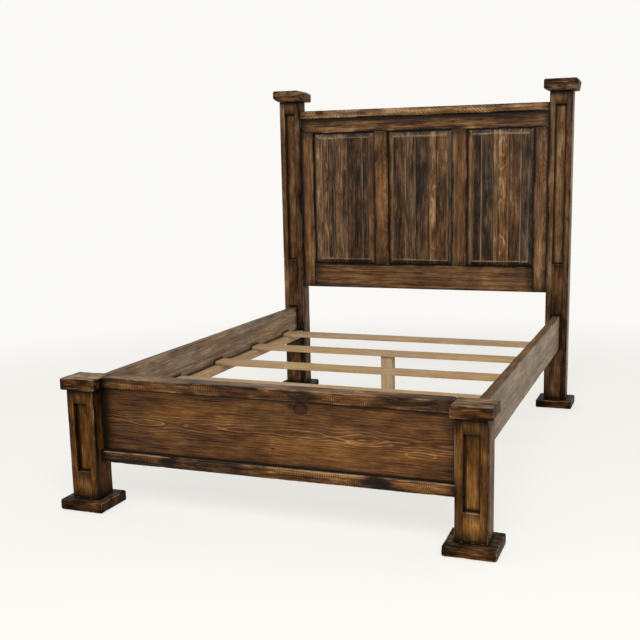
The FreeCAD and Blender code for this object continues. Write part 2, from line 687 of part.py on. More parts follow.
def levelling_foot(number, middle):
    """A round pad on a screwed stem, standing on the floor."""
    label = f"levelling_foot_{number}"
    rim = rod(label + "_rim", ("0", middle, "0"), "pad_radius", "pad_rim")
    neck = ("0", middle, "pad_rim")
    dome = taper(label + "_dome", neck, "pad_radius", "pad_neck_radius", "pad_thick - pad_rim")
    stem = rod(label + "_stem", neck, "stem_radius", "pad_thick - pad_rim + stem_length")
    piece(label, joined(label, [rim, dome, stem]))


def slat(number):
    """A cross slat between the side rails, socketed for a leg where it has one."""
    label = f"slat_{number}"
    slat_run = f"({RAIL_LENGTH} - 2 * slat_margin)"
    middle = f"({FOOT_BACK} + slat_margin + {slat_run} * {number - 1} / {SLATS - 1})"
    slat_end = f"({RAIL_INNER} - slat_end_gap)"
    board = block(label + "_board", (f"(-{slat_end})", slat_end), centred(middle, "slat_width"),
                  (CLEAT_TOP, SLAT_TOP))
    if number in LEGGED_SLATS:
        socket = block(label + "_socket", eased(centred("0", "leg_tenon_side"), "dowel_gap"),
                       eased(centred(middle, "leg_tenon_side"), "dowel_gap"),
                       eased((CLEAT_TOP, SLAT_TOP), "overrun"))
        board = cut(label, board, [socket])
        centre_leg(number, middle)
        levelling_foot(number, middle)
    piece(label, board)


for number in range(1, SLATS + 1):
    slat(number)

# Check every object before anything is written
doc.recompute()
for item in doc.Objects:
    if "Invalid" in item.State or "Error" in item.State:
        raise RuntimeError(f"{item.Name} failed: {item.State}")
for label, item in pieces.items():
    if item.Shape.isNull() or not item.Shape.isValid():
        raise RuntimeError(f"{label} has no valid shape")

os.makedirs("parts", exist_ok=True)
for label, item in pieces.items():
    item.Shape.exportStep(f"parts/{label}.step")
    print(label, len(item.Shape.Solids), round(item.Shape.Volume))
print(len(pieces), "pieces")
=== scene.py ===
import dataclasses
import itertools
import math

import bpy
import numpy as np
from mathutils import Matrix, Vector


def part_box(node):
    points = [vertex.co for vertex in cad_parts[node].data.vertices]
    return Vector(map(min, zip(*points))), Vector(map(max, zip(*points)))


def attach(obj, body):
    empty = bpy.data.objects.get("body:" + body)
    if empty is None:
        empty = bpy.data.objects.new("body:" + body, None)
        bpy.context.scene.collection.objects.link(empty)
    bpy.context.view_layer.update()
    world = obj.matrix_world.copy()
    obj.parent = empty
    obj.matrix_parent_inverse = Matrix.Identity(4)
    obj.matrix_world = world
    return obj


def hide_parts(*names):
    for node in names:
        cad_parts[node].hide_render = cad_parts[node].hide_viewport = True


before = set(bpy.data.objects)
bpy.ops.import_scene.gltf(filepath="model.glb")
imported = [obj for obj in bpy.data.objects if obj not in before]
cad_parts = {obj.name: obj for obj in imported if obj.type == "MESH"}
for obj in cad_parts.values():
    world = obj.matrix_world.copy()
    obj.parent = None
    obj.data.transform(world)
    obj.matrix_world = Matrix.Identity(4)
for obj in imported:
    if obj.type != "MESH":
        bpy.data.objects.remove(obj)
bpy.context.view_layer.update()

ENDS = ("foot", "head")
SIDES = ("left", "right")
PANELS = ("left", "centre", "right")
SLATS = range(1, 6)
LEG_SLATS = (2, 4)
X, Y, Z = range(3)
X_LOW, Y_LOW, Z_LOW, X_HIGH, Y_HIGH, Z_HIGH = range(6)
OUTER = {"left": X_LOW, "right": X_HIGH}
INNER = {"left": X_HIGH, "right": X_LOW}
MM = 0.001


def add_object(name, data):
    """A new object in the scene."""
    item = bpy.data.objects.new(name, data)
    bpy.context.scene.collection.objects.link(item)
    return item


# Camera at the photograph's viewing angle, for a square picture
PICTURE_PIXELS = 640
FOCAL_PIXELS = 935.7
AXIS_PIXEL = (351.3, 341.6)
EYE = (1.4514, -4.2070, 1.3351)
YAW, PITCH, ROLL = (math.radians(angle) for angle in (19.64, 10.29, -0.90))


def add_camera():
    data = bpy.data.cameras.new("camera")
    data.lens = FOCAL_PIXELS / PICTURE_PIXELS * data.sensor_width
    data.shift_x = 0.5 - AXIS_PIXEL[0] / PICTURE_PIXELS
    data.shift_y = AXIS_PIXEL[1] / PICTURE_PIXELS - 0.5
    ahead = Vector((-math.sin(YAW) * math.cos(PITCH), math.cos(YAW) * math.cos(PITCH), -math.sin(PITCH)))
    level = ahead.cross(Vector((0, 0, 1))).normalized()
    upright = level.cross(ahead)
    across = level * math.cos(ROLL) + upright * math.sin(ROLL)
    upward = upright * math.cos(ROLL) - level * math.sin(ROLL)
    item = add_object("camera", data)
    item.matrix_world = Matrix.Translation(EYE) @ Matrix((across, upward, -ahead)).transposed().to_4x4()
    bpy.context.scene.camera = item


# Smooth random values for the shapes
NOISE_TABLE = 4096
NOISE_PRIMES = np.array((73856093, 19349663, 83492791))


def smooth(share):
    """A smooth step over shares from 0 to 1."""
    return share * share * (3 - 2 * share)


def ease(values, low, high):
    """A smooth step from 0 at low to 1 at high."""
    return smooth(np.clip((values - low) / (high - low), 0, 1))


def between(share, low, high):
    """Values from low to high for shares from 0 to 1."""
    return low + (high - low) * share


def noise(points, scale, seed):
    """Random values from 0 to 1 that change smoothly over points, with so many features a metre."""
    table = np.random.default_rng(seed).random(NOISE_TABLE)
    place = points * scale
    cell = np.floor(place).astype(np.int64)
    part = smooth(place - cell)
    total = np.zeros(len(points))
    for corner in itertools.product((0, 1), repeat=3):
        key = (cell + np.array(corner)) * NOISE_PRIMES
        index = (key[:, 0] ^ key[:, 1] ^ key[:, 2]) % NOISE_TABLE
        total += table[index] * np.prod(np.where(corner, part, 1 - part), axis=1)
    return total


# Worn boards: closed grids with rounded, uneven edges and hand-worked faces
EDGE_SHARES = np.array((0, 0.1, 0.32, 0.62, 1.0, 1.5, 2.1))
SHORTEST_TICK = 0.3 * MM
WIDEST_ROUNDING = 0.9

# Their wear: a span is where a mark begins and where it is full, and a range is what 0 and 1 stand for
NOISE_USES = ("round", "chip", "warp", "dent", "scallop", "patch", "bevel", "soot", "hew", "crest", "seam")
ROUND_SCALE = 9
ROUND_RANGE = (0.6, 1.2)
CHIP_SCALE = 26
CHIP_SPAN = (0.62, 0.95)
WARP_SCALE = 3.5
DENT_SCALE = 24
DENT_SHARE = 0.6
DENT_SPAN = (0.7, 1)
SCALLOP_PITCH = 38 * MM
SCALLOP_SPAN = (0.25, 0.6)
HEW_RANGE = (0.8, 1.2)
# Width and core of the bands of painted shade along a board's sides
SOOT_RANGE = (0.6, 1.4)
SOOT_CORE = 0.2
# Reach of the glaze and painted shade in the corners where boards meet
GLAZE_REACH = {"foot": 15 * MM, "head": 18 * MM}
GLAZE_CORE = 0.25
NO_EDGE_NEAR = 1.0

# Where the heart of a board's log lies: metres along it, a share of the board aside, metres deep
HEART_ALONG = (0, 9)
HEART_ASIDE_SHARES = (-0.3, 0.3)
HEART_DEPTH = (0.03, 0.11)

# Planks of the headboard panels and the seams between them
PLANK_SHARES = (0.4, 1.6)
PLANK_CONTRAST = 0.22
PLANK_FADE = 0.35
SEAM_WIDTH = 1.2 * MM
SEAM_DEPTH = 1.1 * MM
SEAM_RUB = 8 * MM
SEAM_SHADE = 5.5 * MM
SEAM_TICKS = (-SEAM_RUB, -SEAM_SHADE / 2, -SEAM_WIDTH, 0, SEAM_WIDTH, SEAM_SHADE / 2, SEAM_RUB)
SEAM_WEAR = (0.1, 1)
SEAM_SPAN = (0.15, 0.65)

# Raised fields of the headboard panels
PANEL_TONGUE = 9.5 * MM
PANEL_QUIRK = 2 * MM
PANEL_BEVEL = 32 * MM
PANEL_RISE = 10 * MM
BEVEL_WAVER = 5 * MM
BEVEL_CRISPNESS = 20
# Painted light on bevels that tip up and painted shade on those that tip down, with painted sheen on the
# upper ones
BEVEL_LIGHT = 0.17
BEVEL_BLEACH = 0.4
BEVEL_RUB_SPAN = (0.6, 1)
BEVEL_CUT_SPAN = (0.2, 1)
# The pale crest line: partly rubbed wear and partly a painted highlight, stronger along the top
CREST_WIDTH = 3 * MM
CREST_SPAN = (0.2, 0.7)
CREST_RANGE = (0.4, 1)
TOP_CREST = 0.85
SIDE_CREST = 0.3
BEVEL_TICKS = np.array((PANEL_QUIRK, PANEL_BEVEL - CREST_WIDTH, PANEL_BEVEL, PANEL_BEVEL + CREST_WIDTH))
FACES_FRONT = -0.5


def ticks(half, rounding, step, extra):
    """Places from one end of a board to the other, close together over its rounded edges."""
    edge = EDGE_SHARES * min(rounding, WIDEST_ROUNDING * half / EDGE_SHARES[-1])
    count = max(1, round(2 * (half - edge[-1]) / step))
    middle = np.linspace(-half + edge[-1], half - edge[-1], count + 1)
    places = np.unique(np.concatenate((-half + edge, middle, half - edge, extra)))
    keep = np.concatenate(([True], np.diff(places) > SHORTEST_TICK))
    keep[-1] = True
    return places[keep]


def shell(*axes):
    """Grid points over the six sides of a block, and the four-sided faces between them."""
    counts = [len(places) for places in axes]
    quads = []
    for axis in range(3):
        one, two = (axis + 1) % 3, (axis + 2) % 3
        for end in (0, counts[axis] - 1):
            index = [None, None, None]
            index[one], index[two] = np.indices((counts[one], counts[two]))
            index[axis] = np.full_like(index[one], end)
            ids = np.ravel_multi_index(index, counts)
            corners = (ids[:-1, :-1], ids[1:, :-1], ids[1:, 1:], ids[:-1, 1:])
            quad = np.stack(corners, axis=-1).reshape(-1, 4)
            quads.append(quad if end else quad[:, ::-1])
    used, faces = np.unique(np.concatenate(quads), return_inverse=True)
    index = np.unravel_index(used, counts)
    return np.stack([places[k] for places, k in zip(axes, index)], axis=1), faces.reshape(-1, 4)


@dataclasses.dataclass(eq=False)
class Board:
    """One worn board: where it is, which way its grain runs, and how it was worked and stained.

    slope is an axis and the shares of the rounding at its two ends. tones are (share along the grain, shift)
    pairs. shades is (side, amount) pairs of painted light and shade on the sides facing that
    way, fades is (side, amount) pairs that grey those sides by weathering and painted
    sheen, and soot is (side, reach) pairs for dark bands of painted shade and glaze along a side.
    cuts are the corners hewn off, as the lengths that each takes from its two edges. joined names the
    sides whose edges stay unworn, most of which lie against another board.
    """
    low: np.ndarray
    high: np.ndarray
    grain: int
    rounding: float
    step: float
    warp: float = 0.5 * MM
    scallop: float = 0.0
    chips: float = 0.8
    slope: tuple = ()
    tone: float = 0.0
    tones: tuple = ()
    shades: tuple = ()
    fade: float = 0.0
    fades: tuple = ()
    soot: tuple = ()
    cuts: tuple = ()
    heart: tuple = ()
    raised: bool = False
    planks: int = 0
    joined: tuple = ()

    def __post_init__(self):
        self.low = np.array(self.low)
        self.high = np.array(self.high)
        self.centre = (self.low + self.high) / 2
        self.half = (self.high - self.low) / 2

    def build(self, seed):
        """Points, faces, outward directions and surface data of the board."""
        self.seed = seed
        random = np.random.default_rng(seed)
        seams = self.seams(random)
        self.flat, faces = shell(*self.grid(seams))
        self.place = self.flat + self.centre
        points, outward = self.rounded()
        self.hew(points)
        marks = {key: np.zeros(len(points)) for key in ("rub", "cut", "tone", "fade")}
        if self.planks:
            self.cut_seams(points, outward, seams, random, marks)
        if self.raised:
            self.raise_field(points, outward, marks)
        self.add_soot(marks)
        plank = np.searchsorted(seams, self.flat[:, X] - SEAM_WIDTH / 2)
        data = self.surface(points, outward, plank, random)
        for key in ("tone", "fade"):
            data[key] += marks.pop(key)
        return points + self.centre, faces, outward, {**data, **marks}

    def noise(self, scale, use):
        """Random values over the board, different for each use."""
        return noise(self.place, scale, self.seed + NOISE_USES.index(use))

    def axes(self):
        """The grain's axis, then the wider and the thinner axis across it."""
        others = sorted((k for k in range(3) if k != self.grain), key=lambda k: -self.half[k])
        return [self.grain, *others]

    def side_gaps(self):
        """Distances of each point from the board's six sides."""
        return np.concatenate((self.half + self.flat, self.half - self.flat), axis=1)

    def seams(self, random):
        """Places across a panel where its planks meet."""
        if not self.planks:
            return np.empty(0)
        widths = np.cumsum(random.uniform(*PLANK_SHARES, self.planks))
        return self.half[X] * (2 * widths[:-1] / widths[-1] - 1)

    def grid(self, seams):
        """Places of the grid's lines along each axis, with more of them at seams and bevels."""
        extra = [np.empty(0), np.empty(0), np.empty(0)]
        if self.planks:
            extra[X] = np.concatenate([seams + shift for shift in SEAM_TICKS])
        if self.raised:
            for axis in (X, Z):
                inset = self.half[axis] - PANEL_TONGUE - BEVEL_TICKS
                extra[axis] = np.concatenate((extra[axis], -inset, inset))
        return [ticks(half, self.rounding, self.step, more) for half, more in zip(self.half, extra)]

    def rounded(self):
        """Points of the board with rounded edges and worked faces, and their outward directions."""
        round_by = self.roundness()
        inner = np.clip(self.flat, round_by - self.half, self.half - round_by)
        outward = self.flat - inner
        outward /= np.linalg.norm(outward, axis=1)[:, None]
        return inner + (round_by - self.sunk()) * outward, outward

    def roundness(self):
        """How large the edges' rounding is at each point."""
        round_by = self.rounding * between(self.noise(ROUND_SCALE, "round"), *ROUND_RANGE)
        round_by += self.rounding * self.chips * ease(self.noise(CHIP_SCALE, "chip"), *CHIP_SPAN)
        if self.slope:
            axis, low_share, high_share = self.slope
            round_by *= between((self.flat[:, axis] / self.half[axis] + 1) / 2, low_share, high_share)
        return np.minimum(round_by, WIDEST_ROUNDING * self.half.min())[:, None]

    def sunk(self):
        """How far the worked faces lie below a true plane."""
        depth = self.warp * self.noise(WARP_SCALE, "warp")
        depth += DENT_SHARE * self.warp * ease(self.noise(DENT_SCALE, "dent"), *DENT_SPAN)
        if self.scallop:
            along = self.place[:, self.grain] + SCALLOP_PITCH * self.noise(2 * ROUND_SCALE, "scallop")
            patch = ease(self.noise(2 * WARP_SCALE, "patch"), *SCALLOP_SPAN)
            depth += self.scallop * patch * (1 + np.sin(2 * math.pi * along / SCALLOP_PITCH)) / 2
        return depth[:, None]

    def hew(self, points):
        """Move points that lie beyond a hewn corner's plane back onto it."""
        for cut in self.cuts:
            toward = np.array([1 / length if length else 0.0 for length in cut])
            depth = 1 / np.linalg.norm(toward)
            toward *= depth
            limit = np.abs(toward) @ self.half - depth * between(self.noise(ROUND_SCALE, "hew"), *HEW_RANGE)
            points -= np.maximum(points @ toward - limit, 0)[:, None] * toward

    def cut_seams(self, points, outward, seams, random, marks):
        """Sink the seams between planks, dark in the groove and rubbed along one edge."""
        away = self.flat[:, :1] - seams
        gap = np.min(np.abs(away), axis=1)
        points[:, Y] -= np.sign(outward[:, Y]) * SEAM_DEPTH * (1 - ease(gap, 0, SEAM_WIDTH))
        worn = random.uniform(*SEAM_WEAR, len(seams))
        beside = np.where(away < -SEAM_WIDTH / 2, -away, SEAM_RUB)
        rub = np.max(worn * (1 - ease(beside, SEAM_WIDTH, SEAM_RUB)), axis=1)
        marks["rub"] = rub * ease(self.noise(ROUND_SCALE, "seam"), *SEAM_SPAN)
        marks["cut"] = 1 - ease(gap, 0, SEAM_SHADE)

    def raise_field(self, points, outward, marks):
        """Cut a raised panel's front back round its field, with painted light and sheen on the upper bevels,
        painted shade on the lower ones, and a pale crest that is partly rubbed and partly a painted
        highlight.
        """
        front = outward[:, Y] < FACES_FRONT
        share, crest, slope_up = self.bevel()
        points[:, Y] += (1 - share) * PANEL_RISE * front
        marks["rub"] = np.maximum(marks["rub"] * ease(share, *BEVEL_RUB_SPAN), crest * front)
        marks["cut"] = marks["cut"] * ease(share, *BEVEL_CUT_SPAN)
        marks["tone"] = BEVEL_LIGHT * slope_up * front
        marks["fade"] = BEVEL_BLEACH * np.maximum(slope_up, 0) * front

    def bevel(self):
        """How high a raised panel's face stands, how near its crest a point is, and how its bevel tips up."""
        span = self.half - PANEL_TONGUE
        beside = span[X] - np.abs(self.flat[:, X])
        above = span[Z] - np.abs(self.flat[:, Z])
        level = above < beside
        gap = np.minimum(beside, above)
        width = PANEL_BEVEL + BEVEL_WAVER * (self.noise(ROUND_SCALE, "bevel") - 0.5)
        run = (gap - PANEL_QUIRK) / (width - PANEL_QUIRK)
        share = np.clip(1 - np.log1p(np.exp(BEVEL_CRISPNESS * (1 - run))) / BEVEL_CRISPNESS, 0, 1)
        crest = np.where(level, TOP_CREST, SIDE_CREST) * (1 - ease(np.abs(gap - width), 0, 2 * CREST_WIDTH))
        crest *= between(ease(self.noise(DENT_SCALE, "crest"), *CREST_SPAN), *CREST_RANGE)
        tips = np.where(level, np.sign(self.flat[:, Z]), 0)
        return share, crest, tips * (1 - ease(gap, width - CREST_WIDTH, width))

    def add_soot(self, marks):
        """Dark bands of uneven width along some sides: painted shade, with glaze, under or beside another
        board.
        """
        gaps = self.side_gaps()
        for side, reach in self.soot:
            reaches = reach * between(self.noise(ROUND_SCALE, "soot"), *SOOT_RANGE)
            band = 1 - ease(gaps[:, side], SOOT_CORE * reaches, reaches)
            marks["cut"] = np.maximum(marks["cut"], band)

    def surface(self, points, outward, plank, random):
        """Grain coordinates, distances to the edges and ends, tone with painted light and shade on some
        sides, and weathering with painted sheen, for the material.
        """
        count = plank.max() + 1
        along = random.uniform(*HEART_ALONG, count)
        aside = random.uniform(*HEART_ASIDE_SHARES, count) * self.half.max()
        hearts = np.stack((along, aside, random.uniform(*HEART_DEPTH, count)), axis=1)
        if self.heart:
            hearts[0] = self.heart
        shifts = PLANK_CONTRAST * random.uniform(-1, 1, count)
        greys = PLANK_FADE * random.uniform(-1, 1, count)
        gaps = self.side_gaps()
        gaps[:, list(self.joined)] = NO_EDGE_NEAR
        facing = np.concatenate((-outward, outward), axis=1).clip(0, 1) ** 2
        tone = self.tone + (shifts - shifts.mean())[plank]
        if self.tones:
            tone += np.interp(points[:, self.grain] / self.half[self.grain], *zip(*self.tones))
        for side, shift in self.shades:
            tone += shift * facing[:, side]
        fade = self.fade + (greys - greys.mean())[plank]
        for side, share in self.fades:
            fade += share * facing[:, side]
        return {"grain": points[:, self.axes()] + hearts[plank], "edge": np.sort(gaps, axis=1)[:, 1],
                "ends": self.half[self.grain] - np.abs(self.flat[:, self.grain]), "tone": tone, "fade": fade}


# Pieces: each is one or more boards that stand for a CAD node
PIECE_SEEDS = 100
BOARD_SEEDS = 10
pieces = []


def piece(node, material, boards, body="frame", slot="stained_pine"):
    """Plan a wooden piece that stands for a CAD node."""
    pieces.append((node, material, boards, body, slot))


def glaze(points, outward, others):
    """How deep a point sits in the corner where another board stands up beside it, from 0 to 1: glaze that
    collects there, and painted shade.
    """
    reach = GLAZE_REACH["foot" if points[0, Y] < 0 else "head"]
    probe = points + reach * outward
    near = np.zeros(len(points))
    low, high = points.min(0) - 2 * reach, points.max(0) + 2 * reach
    for other in others:
        if np.any(other.low > high) or np.any(other.high < low):
            continue
        gap = np.linalg.norm(probe - np.clip(probe, other.low, other.high), axis=1)
        near = np.maximum(near, 1 - ease(gap, GLAZE_CORE * reach, reach))
    return near


def together(built):
    """Points, faces and data of several boards as those of one mesh."""
    points, faces, data = zip(*built)
    starts = np.cumsum([0, *(len(group) for group in points[:-1])])
    faces = [group + start for group, start in zip(faces, starts)]
    data = {key: np.concatenate([values[key] for values in data]) for key in data[0]}
    return np.concatenate(points), np.concatenate(faces), data


def mesh_from(name, points, faces, data):
    """A smooth mesh with its surface data as attributes."""
    mesh = bpy.data.meshes.new(name)
    mesh.from_pydata(points.tolist(), [], faces.tolist(), shade_flat=False)
    for key, values in data.items():
        wide = values.ndim == 2
        layer = mesh.attributes.new(key, "FLOAT_VECTOR" if wide else "FLOAT", "POINT")
        layer.data.foreach_set("vector" if wide else "value", values.astype(np.float32).ravel())
    return mesh


def build_pieces():
    """Make every planned piece, ride it on its body and let it stand for its node."""
    everything = [board for node, material, boards, body, slot in pieces for board in boards]
    for number, (node, material, boards, body, slot) in enumerate(pieces):
        built = []
        for place, board in enumerate(boards):
            points, faces, outward, data = board.build(PIECE_SEEDS * number + BOARD_SEEDS * place)
            near = glaze(points, outward, [other for other in everything if other is not board])
            # The dark seams and the bands of painted shade join the glaze and painted shade of the corners
            data["glaze"] = np.maximum(near, data.pop("cut"))
            built.append((points, faces, data))
        name = node + "_wood"
        item = add_object(name, mesh_from(name, *together(built)))
        item.data.materials.append(material)
        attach(item, body)
        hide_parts(node)


# Materials
MIX_INPUTS = (0, 6, 7)
MIX_OUTPUT = 2


class Tree:
    """Short ways to add and join nodes of a material or world."""

    def __init__(self, owner, shader="Principled BSDF"):
        owner.use_nodes = True
        self.nodes = owner.node_tree.nodes
        self.links = owner.node_tree.links
        self.shader = self.nodes[shader]

    def feed(self, item, inputs):
        """Link a node's inputs to sockets or set plain values on them. None leaves an input as it is."""
        for key, value in inputs.items():
            if isinstance(value, bpy.types.NodeSocket):
                self.links.new(value, item.inputs[key])
            elif value is not None:
                item.inputs[key].default_value = value

    def node(self, kind, inputs=(), **settings):
        item = self.nodes.new(kind)
        for key, value in settings.items():
            setattr(item, key, value)
        self.feed(item, dict(inputs))
        return item

    def attribute(self, name, output="Fac"):
        return self.node("ShaderNodeAttribute", attribute_name=name).outputs[output]

    def seen(self):
        """1 for rays that show a surface to the camera, straight or mirrored, and 0 for other light."""
        path = self.node("ShaderNodeLightPath").outputs
        mirrored = self.math("MAXIMUM", path["Is Glossy Ray"], path["Is Transmission Ray"])
        return self.math("MAXIMUM", path["Is Camera Ray"], mirrored)

    def math(self, operation, one, two=None):
        return self.node("ShaderNodeMath", {0: one, 1: two}, operation=operation).outputs[0]

    def add(self, total, *values):
        for value in values:
            total = self.math("ADD", total, value)
        return total

    def times(self, total, *values):
        for value in values:
            total = self.math("MULTIPLY", total, value)
        return total

    def around(self, value, gain):
        """A noise's swing about its middle, gain at its ends."""
        return self.times(self.math("SUBTRACT", value, 0.5), 2 * gain)

    def vector_math(self, operation, one, two=None):
        return self.node("ShaderNodeVectorMath", {0: one, 1: two}, operation=operation).outputs

    def scaled(self, vector, scale):
        return self.vector_math("MULTIPLY", vector, scale)[0]

    def noise(self, vector, scale, detail=2.0, roughness=0.5):
        where = self.scaled(vector, scale)
        inputs = {"Vector": where, "Scale": 1.0, "Detail": detail, "Roughness": roughness}
        return self.node("ShaderNodeTexNoise", inputs).outputs[0]

    def span(self, value, low, high, to_low=0.0, to_high=1.0):
        """A smooth step from to_low at low to to_high at high."""
        inputs = {"Value": value, "From Min": low, "From Max": high, "To Min": to_low, "To Max": to_high}
        return self.node("ShaderNodeMapRange", inputs, interpolation_type="SMOOTHSTEP").outputs[0]

    def fall(self, value, low, high):
        """A smooth step from 1 at low to 0 at high."""
        return self.span(value, low, high, 1.0, 0.0)

    def ridge(self, value, low, full, ending, high):
        """A smooth rise from low to full, and a fall from ending to high."""
        return self.times(self.span(value, low, full), self.fall(value, ending, high))

    def away(self, vector, centre, size):
        """Distance from a centre, 1 on an ellipsoid of the given half sizes."""
        offset = self.vector_math("SUBTRACT", vector, centre)[0]
        scaled = self.scaled(offset, tuple(1 / half for half in size))
        return self.vector_math("LENGTH", scaled)["Value"]

    def mix(self, factor, one, two, blend="MIX"):
        inputs = dict(zip(MIX_INPUTS, (factor, one, two)))
        return self.node("ShaderNodeMix", inputs, data_type="RGBA", blend_type=blend).outputs[MIX_OUTPUT]

    def ramp(self, value, stops):
        item = self.node("ShaderNodeValToRGB", {0: value})
        points = item.color_ramp.elements
        while len(points) < len(stops):
            points.new(1.0)
        for point, (position, colour) in zip(points, stops):
            point.position = position
            point.color = (*colour, 1.0)
        return item.outputs[0]

    def bump(self, height, distance, strength):
        inputs = {"Height": height, "Distance": distance, "Strength": strength}
        return self.node("ShaderNodeBump", inputs).outputs[0]


# Stains, from the darkest to the palest place
STAIN = ((0.0, (0.006, 0.003, 0.0015)), (0.22, (0.024, 0.0095, 0.0035)), (0.5, (0.100, 0.040, 0.0115)),
         (0.75, (0.215, 0.096, 0.029)), (1.0, (0.42, 0.24, 0.11)))
WARM_STAIN = ((0.0, (0.006, 0.003, 0.0012)), (0.22, (0.025, 0.0095, 0.0024)), (0.5, (0.104, 0.041, 0.0075)),
              (0.75, (0.218, 0.090, 0.019)), (1.0, (0.40, 0.21, 0.075)))
# Greyer colours that weathering and painted sheen take the stain to
WEATHERED = ((0.0, (0.008, 0.0055, 0.004)), (0.22, (0.028, 0.018, 0.0115)), (0.5, (0.105, 0.068, 0.042)),
             (0.75, (0.215, 0.150, 0.100)), (1.0, (0.42, 0.33, 0.24)))
PLAIN = ((0.0, (0.20, 0.105, 0.045)), (0.35, (0.36, 0.22, 0.11)), (0.7, (0.50, 0.34, 0.19)),
         (1.0, (0.62, 0.46, 0.29)))
TINTS = ((0.36, (0.90, 0.94, 1.0)), (0.64, (1.0, 0.96, 0.80)))
# Near-black for burnt edges, knot rims, glaze and painted shade; pale bare wood for rubbed arrises and
# painted highlights
SOOT = (0.007, 0.004, 0.0022, 1.0)
BARE = (0.33, 0.225, 0.13, 1.0)

# Noises of the grain: features a metre along it and across it, detail and roughness
GRAINS = {"wander": (1.5, 2.5, 2.0, 0.5), "swirl": (6.0, 4.0, 1.0, 0.5), "waver": (13.0, 60.0, 2.0, 0.5),
          "streak": (2.0, 50.0, 4.0, 0.66), "thread": (10.0, 240.0, 3.0, 0.62),
          "fibre": (30.0, 950.0, 2.0, 0.6), "patch": (5.0, 12.0, 4.0, 0.66), "tint": (2.3, 7.0, 2.0, 0.5),
          "scratch": (6.0, 150.0, 1.0, 0.5), "nick": (14.0, 110.0, 2.0, 0.5), "row": (7.0, 30.0, 2.0, 0.5)}
SMOOTH_GRAINS = {"fibre": "fibres", "patch": "patches", "waver": "mottles"}
CRISP_GRAINS = {"streak": "streaks", "thread": "threads"}
CRISP_SPAN = (0.32, 0.68)
SCRATCH_SPAN = (0.6, 0.67)
NICK_SPAN = (0.6, 0.68)

# Knots: cells a metre, then shape and parts in knot radii, and the parts' colours and strengths
KNOT_CELLS = (2.6, 5.2, 5.2)
KNOT_SCALE = 12.0
KNOT_MARGIN = 0.02
NO_KNOT_NEAR = 9.0
KNOT_SHAPE = (1.2, 1.0, 2.0)
KNOT_WAVER = 0.25
CORE_FALL = (0.8, 1.0)
RIM_RIDGE = (0.75, 0.95, 1.0, 1.35)
HALO_FALL = (0.9, 3.6)
KNOT_HALO = (0.060, 0.027, 0.010, 1.0)
KNOT_CORE = (0.034, 0.010, 0.005, 1.0)
HALO_STRENGTH = 0.22
CORE_STRENGTH = 0.85
RIM_STRENGTH = 0.8

# Growth rings: how noises shift them, in metres, and where late wood and dark lines lie in a ring
RING_SHIFTS = {"wander": 0.09, "swirl": 0.024, "waver": 0.004}
RING_SWELL = 0.02
LATE_RIDGE = (0.66, 0.86, 0.92, 1.0)
LINE_RIDGE = (0.0, 0.08, 0.1, 0.35)
LINE_STRENGTH = 0.5
FLAT_SAWN = (12 * MM, 60 * MM, 1.0, 0.3)

# Burls, eyes and saw marks
BURL_WAVER = 0.6
BURL_SPAN = (0.3, 1.2)
EYE_DEPTH = 1.0
EYE_WAVER = 0.14
EYE_LINE = 0.14
EYE_STRENGTH = 0.26
SAW_WAVER = 10.0
SAW_SPAN = (0.42, 0.6)

# Burnt edges, darkened ends, glaze and painted shade in the corners, and rubbed arrises and crests, the
# crests partly painted highlight
EDGE_SHIFTS = {"patch": 8 * MM, "streak": 3 * MM}
BURNT_CORE = 0.2
END_SWING = 4.0
GLAZE_SPAN = (0.25, 0.6)
GLAZE_RANGE = (0.8, 1.0)
ARRIS_WIDTH = (1 * MM, 4.5 * MM)
ARRIS_WAVER = 0.22
ARRIS_SPAN = (0.44, 0.62)
RUB_SPAN = (0.3, 0.58)
RUB_RANGE = (0.35, 1.0)

# Gloss and relief
ROUGHNESS_SWING = 0.11
LATE_SHINE = 0.06
RELIEF = {"fibre": 0.5, "thread": 0.8}
LATE_RELIEF = 0.3
SAW_RELIEF = 0.5
RELIEF_HEIGHT = 0.8 * MM
RELIEF_STRENGTH = 0.6

# A pine's look: how pale its stain is, then the strength of each mark on it
PINE = dict(
    base=0.5, streaks=0.17, threads=0.14, fibres=0.2, patches=0.4, mottles=0.0, scratches=0.18, nicks=0.0,
    rings=0.12, ring_count=230.0, knots=0.1, chatter=0.0, pitch=9 * MM, skew=0.0, burn=0.8, reach=14 * MM,
    end_burn=0.75, end_reach=55 * MM, wear=0.5, soot=0.97, gloss=0.12, roughness=0.5, stops=STAIN, spots=(),
    burls=(), eyes=())


